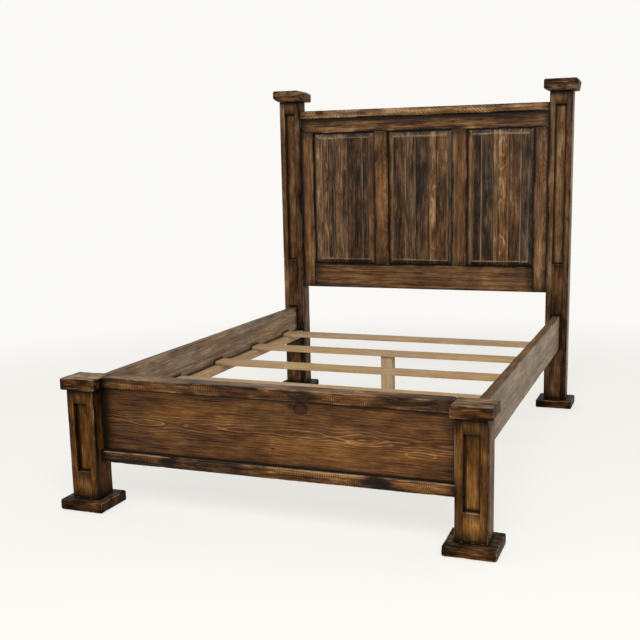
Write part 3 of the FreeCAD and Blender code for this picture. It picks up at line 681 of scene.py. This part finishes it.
class Pine(Tree):
    """Sawn pine: growth rings, fibre streaks, stain patches, saw chatter, knots, burnt and worn edges, and
    painted light, shade and sheen.
    """

    def __init__(self, material, look):
        super().__init__(material)
        self.look = look
        self.grain = self.attribute("grain", "Vector")
        self.split = self.node("ShaderNodeSeparateXYZ", {0: self.grain}).outputs
        self.field = {key: self.noise(self.grain, (along, across, across), detail, roughness)
                      for key, (along, across, detail, roughness) in GRAINS.items()}
        self.add_knots()
        self.add_rings()
        self.add_saw_marks()
        self.add_marks()
        self.feed(self.shader, {"Base Color": self.handled(self.knotted(self.stained()))})
        self.add_relief()

    def add_knots(self):
        """Scattered knots and those at given spots: a red-brown core, its dark rim and a halo."""
        where = self.scaled(self.grain, KNOT_CELLS)
        cells = self.node("ShaderNodeTexVoronoi", {"Vector": where, "Scale": 1.0}).outputs
        chance = self.node("ShaderNodeSeparateColor", {0: cells["Color"]}).outputs[0]
        rare = 1.0 - self.look["knots"]
        missing = self.span(chance, rare, rare + KNOT_MARGIN, NO_KNOT_NEAR, 0.0)
        gap = self.add(self.times(cells["Distance"], KNOT_SCALE), missing)
        for *centre, radius in self.look["spots"]:
            size = tuple(share * radius for share in KNOT_SHAPE)
            gap = self.math("MINIMUM", gap, self.away(self.grain, centre, size))
        gap = self.add(gap, self.around(self.field["waver"], KNOT_WAVER))
        self.core = self.fall(gap, *CORE_FALL)
        self.rim = self.ridge(gap, *RIM_RIDGE)
        self.halo = self.fall(gap, *HALO_FALL)

    def add_rings(self):
        """Pale late wood of the growth rings, and the darker line behind each."""
        across, deep = self.split["Y"], self.split["Z"]
        radius = self.math("SQRT", self.add(self.times(across, across), self.times(deep, deep)))
        for key, shift in RING_SHIFTS.items():
            radius = self.add(radius, self.times(self.field[key], shift))
        radius = self.add(radius, self.times(self.halo, RING_SWELL))
        ring = self.math("FRACT", self.times(radius, self.look["ring_count"]))
        late = self.ridge(ring, *LATE_RIDGE)
        dark = self.ridge(ring, *LINE_RIDGE)
        flat_sawn = self.span(self.math("ABSOLUTE", across), *FLAT_SAWN)
        self.late = self.times(late, flat_sawn)
        self.ring_line = self.times(self.math("SUBTRACT", late, self.times(dark, LINE_STRENGTH)), flat_sawn)

    def add_saw_marks(self):
        """Ridges that a saw left across the grain, in rows."""
        self.saw = None
        if self.look["chatter"]:
            turns = self.add(self.split["X"], self.times(self.split["Z"], self.look["skew"]))
            phase = self.times(turns, 2 * math.pi / self.look["pitch"])
            phase = self.add(phase, self.times(self.field["waver"], SAW_WAVER))
            self.saw = self.times(self.math("SINE", phase), self.span(self.field["row"], *SAW_SPAN))

    def add_marks(self):
        """How pale the stain is at each point."""
        look, field = self.look, self.field
        value = self.add(self.attribute("tone"), look["base"])
        for key, gain in SMOOTH_GRAINS.items():
            value = self.add(value, self.around(field[key], look[gain]))
        for key, gain in CRISP_GRAINS.items():
            value = self.add(value, self.around(self.span(field[key], *CRISP_SPAN), look[gain]))
        value = self.add(value, self.times(self.ring_line, look["rings"]),
                         self.times(self.span(field["scratch"], *SCRATCH_SPAN), -look["scratches"]),
                         self.times(self.span(field["nick"], *NICK_SPAN), look["nicks"]))
        value = self.add(value, *self.burls(), *self.eyes())
        if self.saw is not None:
            value = self.add(value, self.times(self.saw, look["chatter"]))
        self.value = self.node("ShaderNodeClamp", {0: value}).outputs[0]

    def burls(self):
        """Darker or paler burls at given places, one of them a painted shadow on the footboard panel."""
        for *centre, length, width, shift in self.look["burls"]:
            gap = self.away(self.grain, centre, (length, width, width))
            for key in ("waver", "streak"):
                gap = self.add(gap, self.around(self.field[key], BURL_WAVER))
            yield self.span(gap, *BURL_SPAN, shift, 0.0)

    def eyes(self):
        """Pale closed lines round given places."""
        for *centre, length, width in self.look["eyes"]:
            gap = self.away(self.grain, centre, (length, width, EYE_DEPTH))
            gap = self.add(gap, self.around(self.field["waver"], EYE_WAVER))
            off_line = self.math("ABSOLUTE", self.math("SUBTRACT", gap, 1.0))
            yield self.span(off_line, 0.0, EYE_LINE, EYE_STRENGTH, 0.0)

    def stained(self):
        """The stain's colour, greyer where it is weathered and under painted sheen, and warmer and cooler in
        places.
        """
        colour = self.ramp(self.value, self.look["stops"])
        colour = self.mix(self.attribute("fade"), colour, self.ramp(self.value, WEATHERED))
        return self.mix(1.0, colour, self.ramp(self.field["tint"], TINTS), "MULTIPLY")

    def knotted(self, colour):
        """The colour with the knots in it."""
        colour = self.mix(self.times(self.halo, HALO_STRENGTH), colour, KNOT_HALO)
        colour = self.mix(self.times(self.core, CORE_STRENGTH), colour, KNOT_CORE)
        return self.mix(self.times(self.rim, RIM_STRENGTH), colour, SOOT)

    def handled(self, colour):
        """Burnt edges, darkened ends, glaze and painted shade in the corners, and pale rubbed arrises and
        crests, the crests partly painted highlight.
        """
        look, field = self.look, self.field
        edge = self.attribute("edge")
        uneven = self.add(*(self.around(field[key], shift) for key, shift in EDGE_SHIFTS.items()))
        burnt = self.fall(self.add(edge, uneven), BURNT_CORE * look["reach"], look["reach"])
        # Darkened ends: end grain, and on a post's strips partly painted shade under the cap and above the
        # plinth
        ends = self.add(self.attribute("ends"), self.times(uneven, END_SWING))
        ends = self.fall(ends, 0.0, look["end_reach"])
        dark = self.math("MAXIMUM", self.times(burnt, look["burn"]), self.times(ends, look["end_burn"]))
        colour = self.mix(dark, colour, SOOT)
        sooty = self.times(self.attribute("glaze"), self.span(field["patch"], *GLAZE_SPAN, *GLAZE_RANGE))
        colour = self.mix(self.times(sooty, look["soot"]), colour, SOOT)
        broken = self.add(field["patch"], self.around(field["waver"], ARRIS_WAVER))
        arris = self.times(self.fall(edge, *ARRIS_WIDTH), self.span(broken, *ARRIS_SPAN))
        rubbed = self.math("MAXIMUM", arris, self.attribute("rub"))
        rubbed = self.times(rubbed, self.span(field["thread"], *RUB_SPAN, *RUB_RANGE), look["wear"])
        return self.mix(rubbed, colour, BARE)

    def add_relief(self):
        """Gloss that follows the fibres, and the relief of fibres, rings and saw marks."""
        rough = self.add(self.look["roughness"], self.around(self.field["thread"], ROUGHNESS_SWING))
        rough = self.add(rough, self.times(self.late, -LATE_SHINE))
        height = self.times(self.late, LATE_RELIEF)
        for key, share in RELIEF.items():
            height = self.add(height, self.times(self.field[key], share))
        if self.saw is not None:
            height = self.add(height, self.times(self.saw, SAW_RELIEF))
        normal = self.bump(height, RELIEF_HEIGHT, RELIEF_STRENGTH)
        gloss = self.look["gloss"]
        self.feed(self.shader, {"Roughness": rough, "Specular IOR Level": gloss, "Normal": normal})


def pine(name, **changes):
    """A pine material with some changes to the usual look."""
    material = bpy.data.materials.new(name)
    Pine(material, {**PINE, **changes})
    return material


# Steel and beech: noise features a metre along X, Y and Z, and colours
STEEL_MOTTLE = (90.0, 90.0, 90.0)
STEEL_SCRATCH = (60.0, 60.0, 1500.0)
STEEL_COLOURS = ((0.3, (0.42, 0.43, 0.44)), (0.7, (0.58, 0.58, 0.57)))
STEEL_ROUGHNESS = (0.2, 0.8, 0.28, 0.5)
BEECH_FIBRE = (420.0, 420.0, 18.0)
BEECH_FLECK = (900.0, 900.0, 120.0)
BEECH_FLECK_SPAN = (0.6, 0.7, 0.0, -0.15)
BEECH_COLOURS = ((0.25, (0.36, 0.21, 0.11)), (0.75, (0.58, 0.40, 0.24)))
BEECH_ROUGHNESS = (0.3, 0.7, 0.5, 0.65)
FINE_RELIEF = 0.2 * MM


def dress(tree, value, colours, relief, roughness, strength):
    """Colour a surface by one value, and roughen and emboss it finely by another."""
    tree.feed(tree.shader, {"Base Color": tree.ramp(value, colours),
                            "Roughness": tree.span(relief, *roughness),
                            "Normal": tree.bump(relief, FINE_RELIEF, strength)})


def steel():
    """Zinc-plated steel, faintly mottled."""
    material = bpy.data.materials.new("zinc_steel")
    tree = Tree(material)
    where = tree.node("ShaderNodeTexCoord").outputs["Object"]
    mottle = tree.noise(where, STEEL_MOTTLE, detail=3.0)
    scratch = tree.noise(where, STEEL_SCRATCH)
    dress(tree, mottle, STEEL_COLOURS, scratch, STEEL_ROUGHNESS, strength=0.4)
    tree.feed(tree.shader, {"Metallic": 1.0})
    return material


def turned_beech():
    """Turned beech, straight-grained, for dowels that stand upright."""
    material = bpy.data.materials.new("turned_beech")
    tree = Tree(material)
    where = tree.node("ShaderNodeTexCoord").outputs["Object"]
    fibre = tree.noise(where, BEECH_FIBRE, detail=3.0)
    fleck = tree.noise(where, BEECH_FLECK, detail=1.0)
    value = tree.add(fibre, tree.span(fleck, *BEECH_FLECK_SPAN))
    dress(tree, value, BEECH_COLOURS, fibre, BEECH_ROUGHNESS, strength=0.5)
    return material


# Materials of the pieces; knots, burls and eyes are places in a board's grain coordinates, then sizes
PANEL_DEPTH = 22 * MM
PANEL_FRONT = PANEL_DEPTH - 13 * MM
PANEL_KNOT = (0.132, 0.101, PANEL_FRONT, 21 * MM)
PANEL_CRACK = (0.098, 0.104, PANEL_FRONT, 20 * MM, 18 * MM, -0.3)
PANEL_PIT = (0.015, -0.064, PANEL_FRONT, 14 * MM, 6 * MM, -0.6)
# PANEL_SHADOW is painted shadow near the panel's right end, drawn like a dark burl
PANEL_SHADOW = (0.62, 0.055, PANEL_FRONT, 55 * MM, 16 * MM, -0.18)
PANEL_EYES = ((0.596, -0.040, PANEL_FRONT, 56 * MM, 11 * MM), (0.40, -0.010, PANEL_FRONT, 85 * MM, 9 * MM))
RAIL_FRONT = -28 * MM
BOTTOM_BURLS = ((0.43, RAIL_FRONT, 0.010, 70 * MM, 20 * MM, -0.5),
                (-0.43, RAIL_FRONT, 0.012, 50 * MM, 20 * MM, -0.45))

POST_PINE = {
    "foot": pine(
        "foot_post_pine", stops=WARM_STAIN, base=0.53, streaks=0.07, threads=0.1, fibres=0.3, patches=0.6,
        rings=0.05, scratches=0.08, nicks=0.1, mottles=0.15, burn=0.45, reach=9 * MM, wear=0.7, gloss=0.05),
    "head": pine(
        "head_post_pine", base=0.56, streaks=0.12, threads=0.1, patches=0.6, rings=0.05, scratches=0.1,
        nicks=0.1, mottles=0.18, burn=0.9, reach=10 * MM, gloss=0.04)}
CAP_PINE = pine(
    "cap_pine", base=0.32, chatter=0.14, pitch=6 * MM, patches=0.7, streaks=0.07, threads=0.12, rings=0.06,
    nicks=0.35, mottles=0.5, wear=0.55, burn=0.7, reach=8 * MM, end_burn=0.2, end_reach=30 * MM, gloss=0.03)
PLINTH_PINE = pine(
    "plinth_pine", stops=WARM_STAIN, base=0.3, chatter=0.08, patches=0.9, streaks=0.08, threads=0.12,
    rings=0.06, nicks=0.1, mottles=0.35, wear=0.9, burn=0.6, reach=9 * MM, end_burn=0.4, end_reach=30 * MM,
    gloss=0.04)
FOOT_RAIL_LOOK = dict(base=0.37, chatter=0.2, pitch=7 * MM, streaks=0.13, burn=0.5, wear=0.8, reach=6 * MM)
TOP_PINE = pine("top_rail_pine", patches=0.6, nicks=0.2, mottles=0.3, **FOOT_RAIL_LOOK)
BOTTOM_PINE = pine(
    "bottom_rail_pine", patches=0.55, nicks=0.12, mottles=0.25, burls=BOTTOM_BURLS, **FOOT_RAIL_LOOK)
CREST_PINE = pine(
    "crest_rail_pine", base=0.66, chatter=0.14, pitch=20 * MM, skew=1.2, patches=0.8, burn=0.8, wear=0.6,
    reach=7 * MM)
PANEL_PINE = pine(
    "panel_pine", base=0.46, rings=0.26, ring_count=100.0, patches=0.42, fibres=0.3, streaks=0.06,
    threads=0.1, scratches=0.14, knots=0.0, spots=(PANEL_KNOT,), burls=(PANEL_PIT, PANEL_SHADOW, PANEL_CRACK),
    eyes=PANEL_EYES, burn=0.75, reach=18 * MM)
FRAME_PINE = pine(
    "frame_pine", base=0.53, patches=0.5, streaks=0.13, threads=0.12, burn=0.97, reach=10 * MM)
HEADER_PINE = pine(
    "header_pine", base=0.5, patches=0.7, streaks=0.24, threads=0.16, mottles=0.25, burn=0.97, reach=10 * MM)
PLANK_PINE = pine(
    "plank_pine", base=0.43, streaks=0.12, threads=0.15, patches=0.6, scratches=0.22, nicks=0.2, mottles=0.15,
    rings=0.17, ring_count=110.0, knots=0.25, chatter=0.06, pitch=11 * MM, wear=1.0, burn=0.6)
SIDE_PINE = pine(
    "side_pine", base=0.75, patches=0.35, streaks=0.1, threads=0.11, scratches=0.07, rings=0.06, burn=0.4,
    reach=7 * MM)
PLAIN_PINE = pine(
    "plain_pine", stops=PLAIN, base=0.55, streaks=0.14, threads=0.1, patches=0.3, chatter=0.04, burn=0.0,
    end_burn=0.0, wear=0.15, soot=0.25, gloss=0.25, roughness=0.62)
STEEL = steel()
BEECH = turned_beech()

# Tenons that other pieces hide, so that the worn boards stop short of them
FOOT_RAIL_TENON = 20 * MM
RAIL_TENON = 30 * MM
FRAME_TENON = 42 * MM

# Edge rounding of the boards, the spacing of their grids and how far their faces are from true
POST_ROUNDING = 3 * MM
BLOCK_ROUNDING = 1.4 * MM
CAP_ROUNDING = {"foot": 6 * MM, "head": 10 * MM}
PLINTH_ROUNDING = 10 * MM
RAIL_ROUNDING = 5 * MM
BOARD_ROUNDING = 2.5 * MM
THIN_ROUNDING = 2 * MM
FINE_STEP = 6 * MM
FRAME_STEP = 7 * MM
PLAIN_STEP = 8 * MM
SLAT_STEP = 10 * MM
CLEAT_STEP = 12 * MM
BROAD_WARP = 0.8 * MM
SCALLOP = 0.5 * MM
SLAB = dict(grain=X, step=FINE_STEP, warp=1.5 * MM, scallop=SCALLOP)
FEW_CHIPS = 0.5
OPEN_EDGE, RECESS_EDGE = 1.2, 0.4


def node_box(node, trim=(0, 0, 0)):
    """Corners of a CAD node, with the tenons or tongues at both ends of an axis taken off."""
    low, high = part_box(node)
    return np.array(low) + np.array(trim), np.array(high) - np.array(trim)


def single(node, material, grain, rounding, step, trim=(0, 0, 0), body="frame", slot="stained_pine", **look):
    """Plan a piece that is one board, as large as its CAD node apart from what is trimmed."""
    piece(node, material, [Board(*node_box(node, trim), grain, rounding, step, **look)], body, slot)


# Posts: tones, painted light and shade on the sides, and weathering with painted sheen; places along a board
# run from -1 to 1
POST_LOOK = {
    "foot": dict(step=FINE_STEP, fade=0.05, outer_fade=0.35, inner_tone=-0.25, outer_tone=0.0,
                 strip_tones=(-0.15, -0.13), along=(), low_tone=0.17, plinth_tone=0.02),
    "head": dict(step=PLAIN_STEP, fade=0.35, outer_fade=0.5, inner_tone=-0.05, outer_tone=0.15,
                 strip_tones=(0.03, -0.16), along=((-0.9, -0.22), (-0.35, -0.14), (-0.2, 0.0)),
                 low_tone=-0.2, plinth_tone=-0.2)}
# The right post's core is lighter: painted light, with the left post more in shade
CORE_TONE = {"left": 0.0, "right": 0.06}
TOP_TONE = 0.02
CAP_TONE = {"foot": {"left": 0.08, "right": -0.01}, "head": {"left": 0.1, "right": 0.05}}
FOOT_CAP_TONES = {"left": ((-0.95, -0.25), (-0.6, 0.0)), "right": ()}
PLINTH_TONES = ((-1, -0.2), (0, 0.08), (0.6, 0.06), (1, -0.12))

# Corners hewn off the head caps, as lengths along X, Y and Z from the corner that their signs name
HEAD_CAP_CUTS = {"left": ((-30 * MM, 0, -20 * MM), (34 * MM, 0, 20 * MM)),
                 "right": ((-30 * MM, 0, -14 * MM), (9 * MM, 0, -44 * MM), (13 * MM, 0, 15 * MM))}


def post_wear(end, side):
    """What a post's core and strips share: painted shade on the inner side, painted light on the outer side
    of the head posts, and weathering with painted sheen on the outer side.
    """
    look = POST_LOOK[end]
    return dict(rounding=POST_ROUNDING, step=look["step"], chips=FEW_CHIPS, fade=look["fade"],
                fades=((OUTER[side], look["outer_fade"]),),
                shades=((INNER[side], look["inner_tone"]), (OUTER[side], look["outer_tone"])))


def slab_fades(side):
    """Foot caps and plinths are greyed on top and on their outer side, by weathering and painted sheen."""
    return (Z_HIGH, 0.6), (OUTER[side], 0.4)


def plan_core(end, side):
    single(f"{end}_post_{side}", POST_PINE[end], Z, tone=CORE_TONE[side], joined=(Y_LOW,),
           **post_wear(end, side))


def plan_strips(end, side):
    """Two strips up a post's front, with crisper edges towards the recess between them."""
    strips = f"{end}_post_{side}_strips"
    look = POST_LOOK[end]
    low, high = node_box(strips)
    recess_low, recess_high = node_box(f"{end}_post_{side}_low_block")
    left_tone, right_tone = look["strip_tones"]
    shared = {"tones": look["along"], **post_wear(end, side)}
    piece(strips, POST_PINE[end], [
        Board(low, (recess_low[X], *high[1:]), Z, slope=(X, OPEN_EDGE, RECESS_EDGE), tone=left_tone,
              joined=(X_HIGH, Y_HIGH), **shared),
        Board((recess_high[X], *low[1:]), high, Z, slope=(X, RECESS_EDGE, OPEN_EDGE), tone=right_tone,
              joined=(X_LOW, Y_HIGH), **shared)])


def plan_blocks(end, side):
    """Blocks between the strips, above and below the recess, with painted shade under them and painted light
    and sheen on top. Only the low one has a worn lower edge.
    """
    look = POST_LOOK[end]
    for level, tone, unworn in (("top", TOP_TONE, (Z_LOW,)), ("low", look["low_tone"], ())):
        single(f"{end}_post_{side}_{level}_block", POST_PINE[end], Z, BLOCK_ROUNDING, look["step"], tone=tone,
               fade=look["fade"], fades=((Z_HIGH, 0.6),), shades=((Z_LOW, -0.5), (Z_HIGH, 0.35)),
               joined=(X_LOW, X_HIGH, Y_HIGH, *unworn))


def plan_cap(end, side):
    """A thick slab on a post, with painted light and sheen on its top and painted light and shade on its
    sides; the head caps have hewn corners.
    """
    if end == "foot":
        look = dict(shades=((Z_HIGH, 0.27), (INNER[side], -0.2)), fades=slab_fades(side),
                    tones=FOOT_CAP_TONES[side])
    else:
        look = dict(shades=((Z_HIGH, 0.28), (X_LOW, -0.1), (X_HIGH, 0.06)), fades=((X_HIGH, -0.3),),
                    fade=0.4, cuts=HEAD_CAP_CUTS[side])
    single(f"{end}_cap_{side}", CAP_PINE, rounding=CAP_ROUNDING[end], tone=CAP_TONE[end][side], **look,
           **SLAB)


def plan_plinth(end, side):
    # Painted light on the outer side, and weathering with painted sheen on top and outside
    single(f"{end}_plinth_{side}", PLINTH_PINE, rounding=PLINTH_ROUNDING, chips=FEW_CHIPS,
           tone=POST_LOOK[end]["plinth_tone"], tones=PLINTH_TONES, shades=((OUTER[side], 0.12),),
           fades=slab_fades(side), **SLAB)


def plan_posts():
    for end, side in itertools.product(ENDS, SIDES):
        for plan in (plan_core, plan_strips, plan_blocks, plan_cap, plan_plinth):
            plan(end, side)


# Footboard: how the tone of its boards changes along them, the panel's darker ends partly painted shade
# beside the posts, and a band of painted shade with glaze down the panel's left end
TOP_RAIL_TONES = ((-0.9, 0.05), (-0.6, 0.1), (-0.45, -0.1), (-0.2, 0.06), (0.2, -0.04), (0.5, 0.06),
                  (0.9, -0.1))
FOOT_PANEL_TONES = ((-1, -0.12), (-0.7, 0.0), (0.6, 0.02), (1, -0.06))
BOTTOM_RAIL_TONES = ((-1, -0.2), (-0.7, -0.1), (-0.3, 0.0), (0.3, 0.0), (0.75, 0.08), (1, -0.12))
FOOT_PANEL_SOOT = ((X_LOW, 60 * MM),)


def plan_footboard():
    # Painted light and sheen on the rails' tops
    single("footboard_top_rail", TOP_PINE, X, RAIL_ROUNDING, FINE_STEP, (FOOT_RAIL_TENON, 0, 0),
           scallop=SCALLOP, shades=((Z_HIGH, 0.15),), fades=((Z_HIGH, 0.4),), tones=TOP_RAIL_TONES)
    single("footboard_panel", PANEL_PINE, X, THIN_ROUNDING, FINE_STEP, warp=BROAD_WARP,
           heart=(0.0, 0.0, PANEL_DEPTH), soot=FOOT_PANEL_SOOT, tones=FOOT_PANEL_TONES)
    single("footboard_bottom_rail", BOTTOM_PINE, X, RAIL_ROUNDING, FINE_STEP, (RAIL_TENON, 0, 0),
           scallop=SCALLOP, heart=(0.0, 0.0, 0.0), shades=((Z_HIGH, 0.25),), fades=((Z_HIGH, 0.9),),
           tones=BOTTOM_RAIL_TONES)


# Headboard: bands of painted shade with glaze along the top rail under the cap rail, and along the stiles
# beside the posts
FRAME_LOOK = dict(rounding=BOARD_ROUNDING, step=FRAME_STEP, fade=0.2)
HEADER_SOOT = ((Z_HIGH, 46 * MM),)
STILE_SOOT = 26 * MM
STILE_TONE = 0.08
PANEL_PLANKS = 7


def plan_headboard():
    single("headboard_cap_rail", CREST_PINE, X, RAIL_ROUNDING, FRAME_STEP, (RAIL_TENON, 0, 0), fade=0.25,
           scallop=SCALLOP)
    single("headboard_top_rail", HEADER_PINE, X, trim=(PANEL_TONGUE, 0, 0), soot=HEADER_SOOT, **FRAME_LOOK)
    single("headboard_bottom_rail", FRAME_PINE, X, trim=(FRAME_TENON, 0, 0), **FRAME_LOOK)
    for side in SIDES:
        plan_stile(side)
        single(f"headboard_muntin_{side}", FRAME_PINE, Z, trim=(0, 0, PANEL_TONGUE), **FRAME_LOOK)
    for place in PANELS:
        single(f"headboard_panel_{place}", PLANK_PINE, Z, THIN_ROUNDING, FINE_STEP, fade=0.4, raised=True,
               planks=PANEL_PLANKS)


def plan_stile(side):
    """An upright at one end of the headboard, without the tongues that its post and the top rail hide."""
    stile = f"headboard_stile_{side}"
    low, high = node_box(stile)
    if side == "left":
        low[X] += PANEL_TONGUE
    else:
        high[X] -= PANEL_TONGUE
    high[Z] -= PANEL_TONGUE
    piece(stile, FRAME_PINE, [
        Board(low, high, Z, tone=STILE_TONE, soot=((OUTER[side], STILE_SOOT),), **FRAME_LOOK)])


def plan_rails_and_slats():
    for side in SIDES:
        # Weathering and painted sheen grey the side rails, less on top, and their tops are darker
        single(f"side_rail_{side}", SIDE_PINE, Y, RAIL_ROUNDING, PLAIN_STEP, warp=BROAD_WARP, fade=0.8,
               shades=((Z_HIGH, -0.2),), fades=((Z_HIGH, -0.5),))
        single(f"cleat_{side}", PLAIN_PINE, Y, THIN_ROUNDING, CLEAT_STEP, slot="plain_pine")
    for number in SLATS:
        single(f"slat_{number}", PLAIN_PINE, X, BOARD_ROUNDING, SLAT_STEP, body=f"slat_{number}_set",
               slot="plain_pine", warp=BROAD_WARP, scallop=SCALLOP)
    for number in LEG_SLATS:
        single(f"centre_leg_{number}", PLAIN_PINE, Z, THIN_ROUNDING, PLAIN_STEP, body=f"slat_{number}_set",
               slot="plain_pine")


def dress_hardware():
    """Steel and beech for the CAD solids that show."""
    metal = ["rail_hook_plates", "post_slot_plates", "plate_screws", "cleat_screws"]
    metal += [f"{kind}_{number}" for kind in ("leg_insert", "levelling_foot") for number in LEG_SLATS]
    for node in ["post_dowels", *metal]:
        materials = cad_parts[node].data.materials
        materials.clear()
        materials.append(STEEL if node in metal else BEECH)


# Floor and light
BACKDROP = (0.955, 0.948, 0.915, 1.0)
AMBIENT = 0.66
FLOOR_SIZE = 14
FLOOR_ALBEDO = (0.86, 0.852, 0.82, 1.0)
FLOOR_EVENNESS = 0.7
FLOOR_FADE = (2.2, 4.5)
KEY_PLACE = (1.6, -4.6, 4.4)
KEY_TARGET = (0, 0, 0.6)
KEY_SIZE = 3.6
KEY_POWER = 260


def add_floor():
    """A pale floor that keeps a soft shadow and fades into the backdrop."""
    mesh = bpy.data.meshes.new("floor")
    corners = [(x * FLOOR_SIZE, y * FLOOR_SIZE, 0) for x, y in ((-1, -1), (1, -1), (1, 1), (-1, 1))]
    mesh.from_pydata(corners, [], [range(4)])
    floor = add_object("floor", mesh)
    material = bpy.data.materials.new("floor")
    tree = Tree(material)
    tree.feed(tree.shader, {"Base Color": FLOOR_ALBEDO, "Roughness": 1.0, "Specular IOR Level": 0.0})
    seen = tree.times(tree.seen(), FLOOR_EVENNESS)
    even = tree.node("ShaderNodeEmission", {"Color": BACKDROP}).outputs[0]
    paper = tree.node("ShaderNodeMixShader", {0: seen, 1: tree.shader.outputs[0], 2: even}).outputs[0]
    where = tree.node("ShaderNodeNewGeometry").outputs["Position"]
    far = tree.span(tree.vector_math("LENGTH", where)["Value"], *FLOOR_FADE)
    clear = tree.node("ShaderNodeBsdfTransparent").outputs[0]
    blend = tree.node("ShaderNodeMixShader", {0: far, 1: paper, 2: clear}).outputs[0]
    tree.feed(tree.nodes["Material Output"], {0: blend})
    mesh.materials.append(material)


def add_world():
    """Even light from all round, with the backdrop at full strength where it is seen or mirrored."""
    world = bpy.data.worlds.new("studio")
    bpy.context.scene.world = world
    tree = Tree(world, "Background")
    strength = tree.node("ShaderNodeMapRange", {"Value": tree.seen(), "To Min": AMBIENT}).outputs[0]
    tree.feed(tree.shader, {"Strength": strength, "Color": BACKDROP})


def add_key_light():
    """A large soft lamp in front of the bed, high up and to the right."""
    data = bpy.data.lights.new("key", "AREA")
    data.shape = "SQUARE"
    data.size = KEY_SIZE
    data.energy = KEY_POWER
    item = add_object("key", data)
    item.location = KEY_PLACE
    item.rotation_euler = (Vector(KEY_TARGET) - Vector(KEY_PLACE)).to_track_quat("-Z", "Y").to_euler()


add_camera()
plan_posts()
plan_footboard()
plan_headboard()
plan_rails_and_slats()
build_pieces()
dress_hardware()
add_floor()
add_world()
add_key_light()
bpy.context.scene.view_settings.view_transform = "Standard"
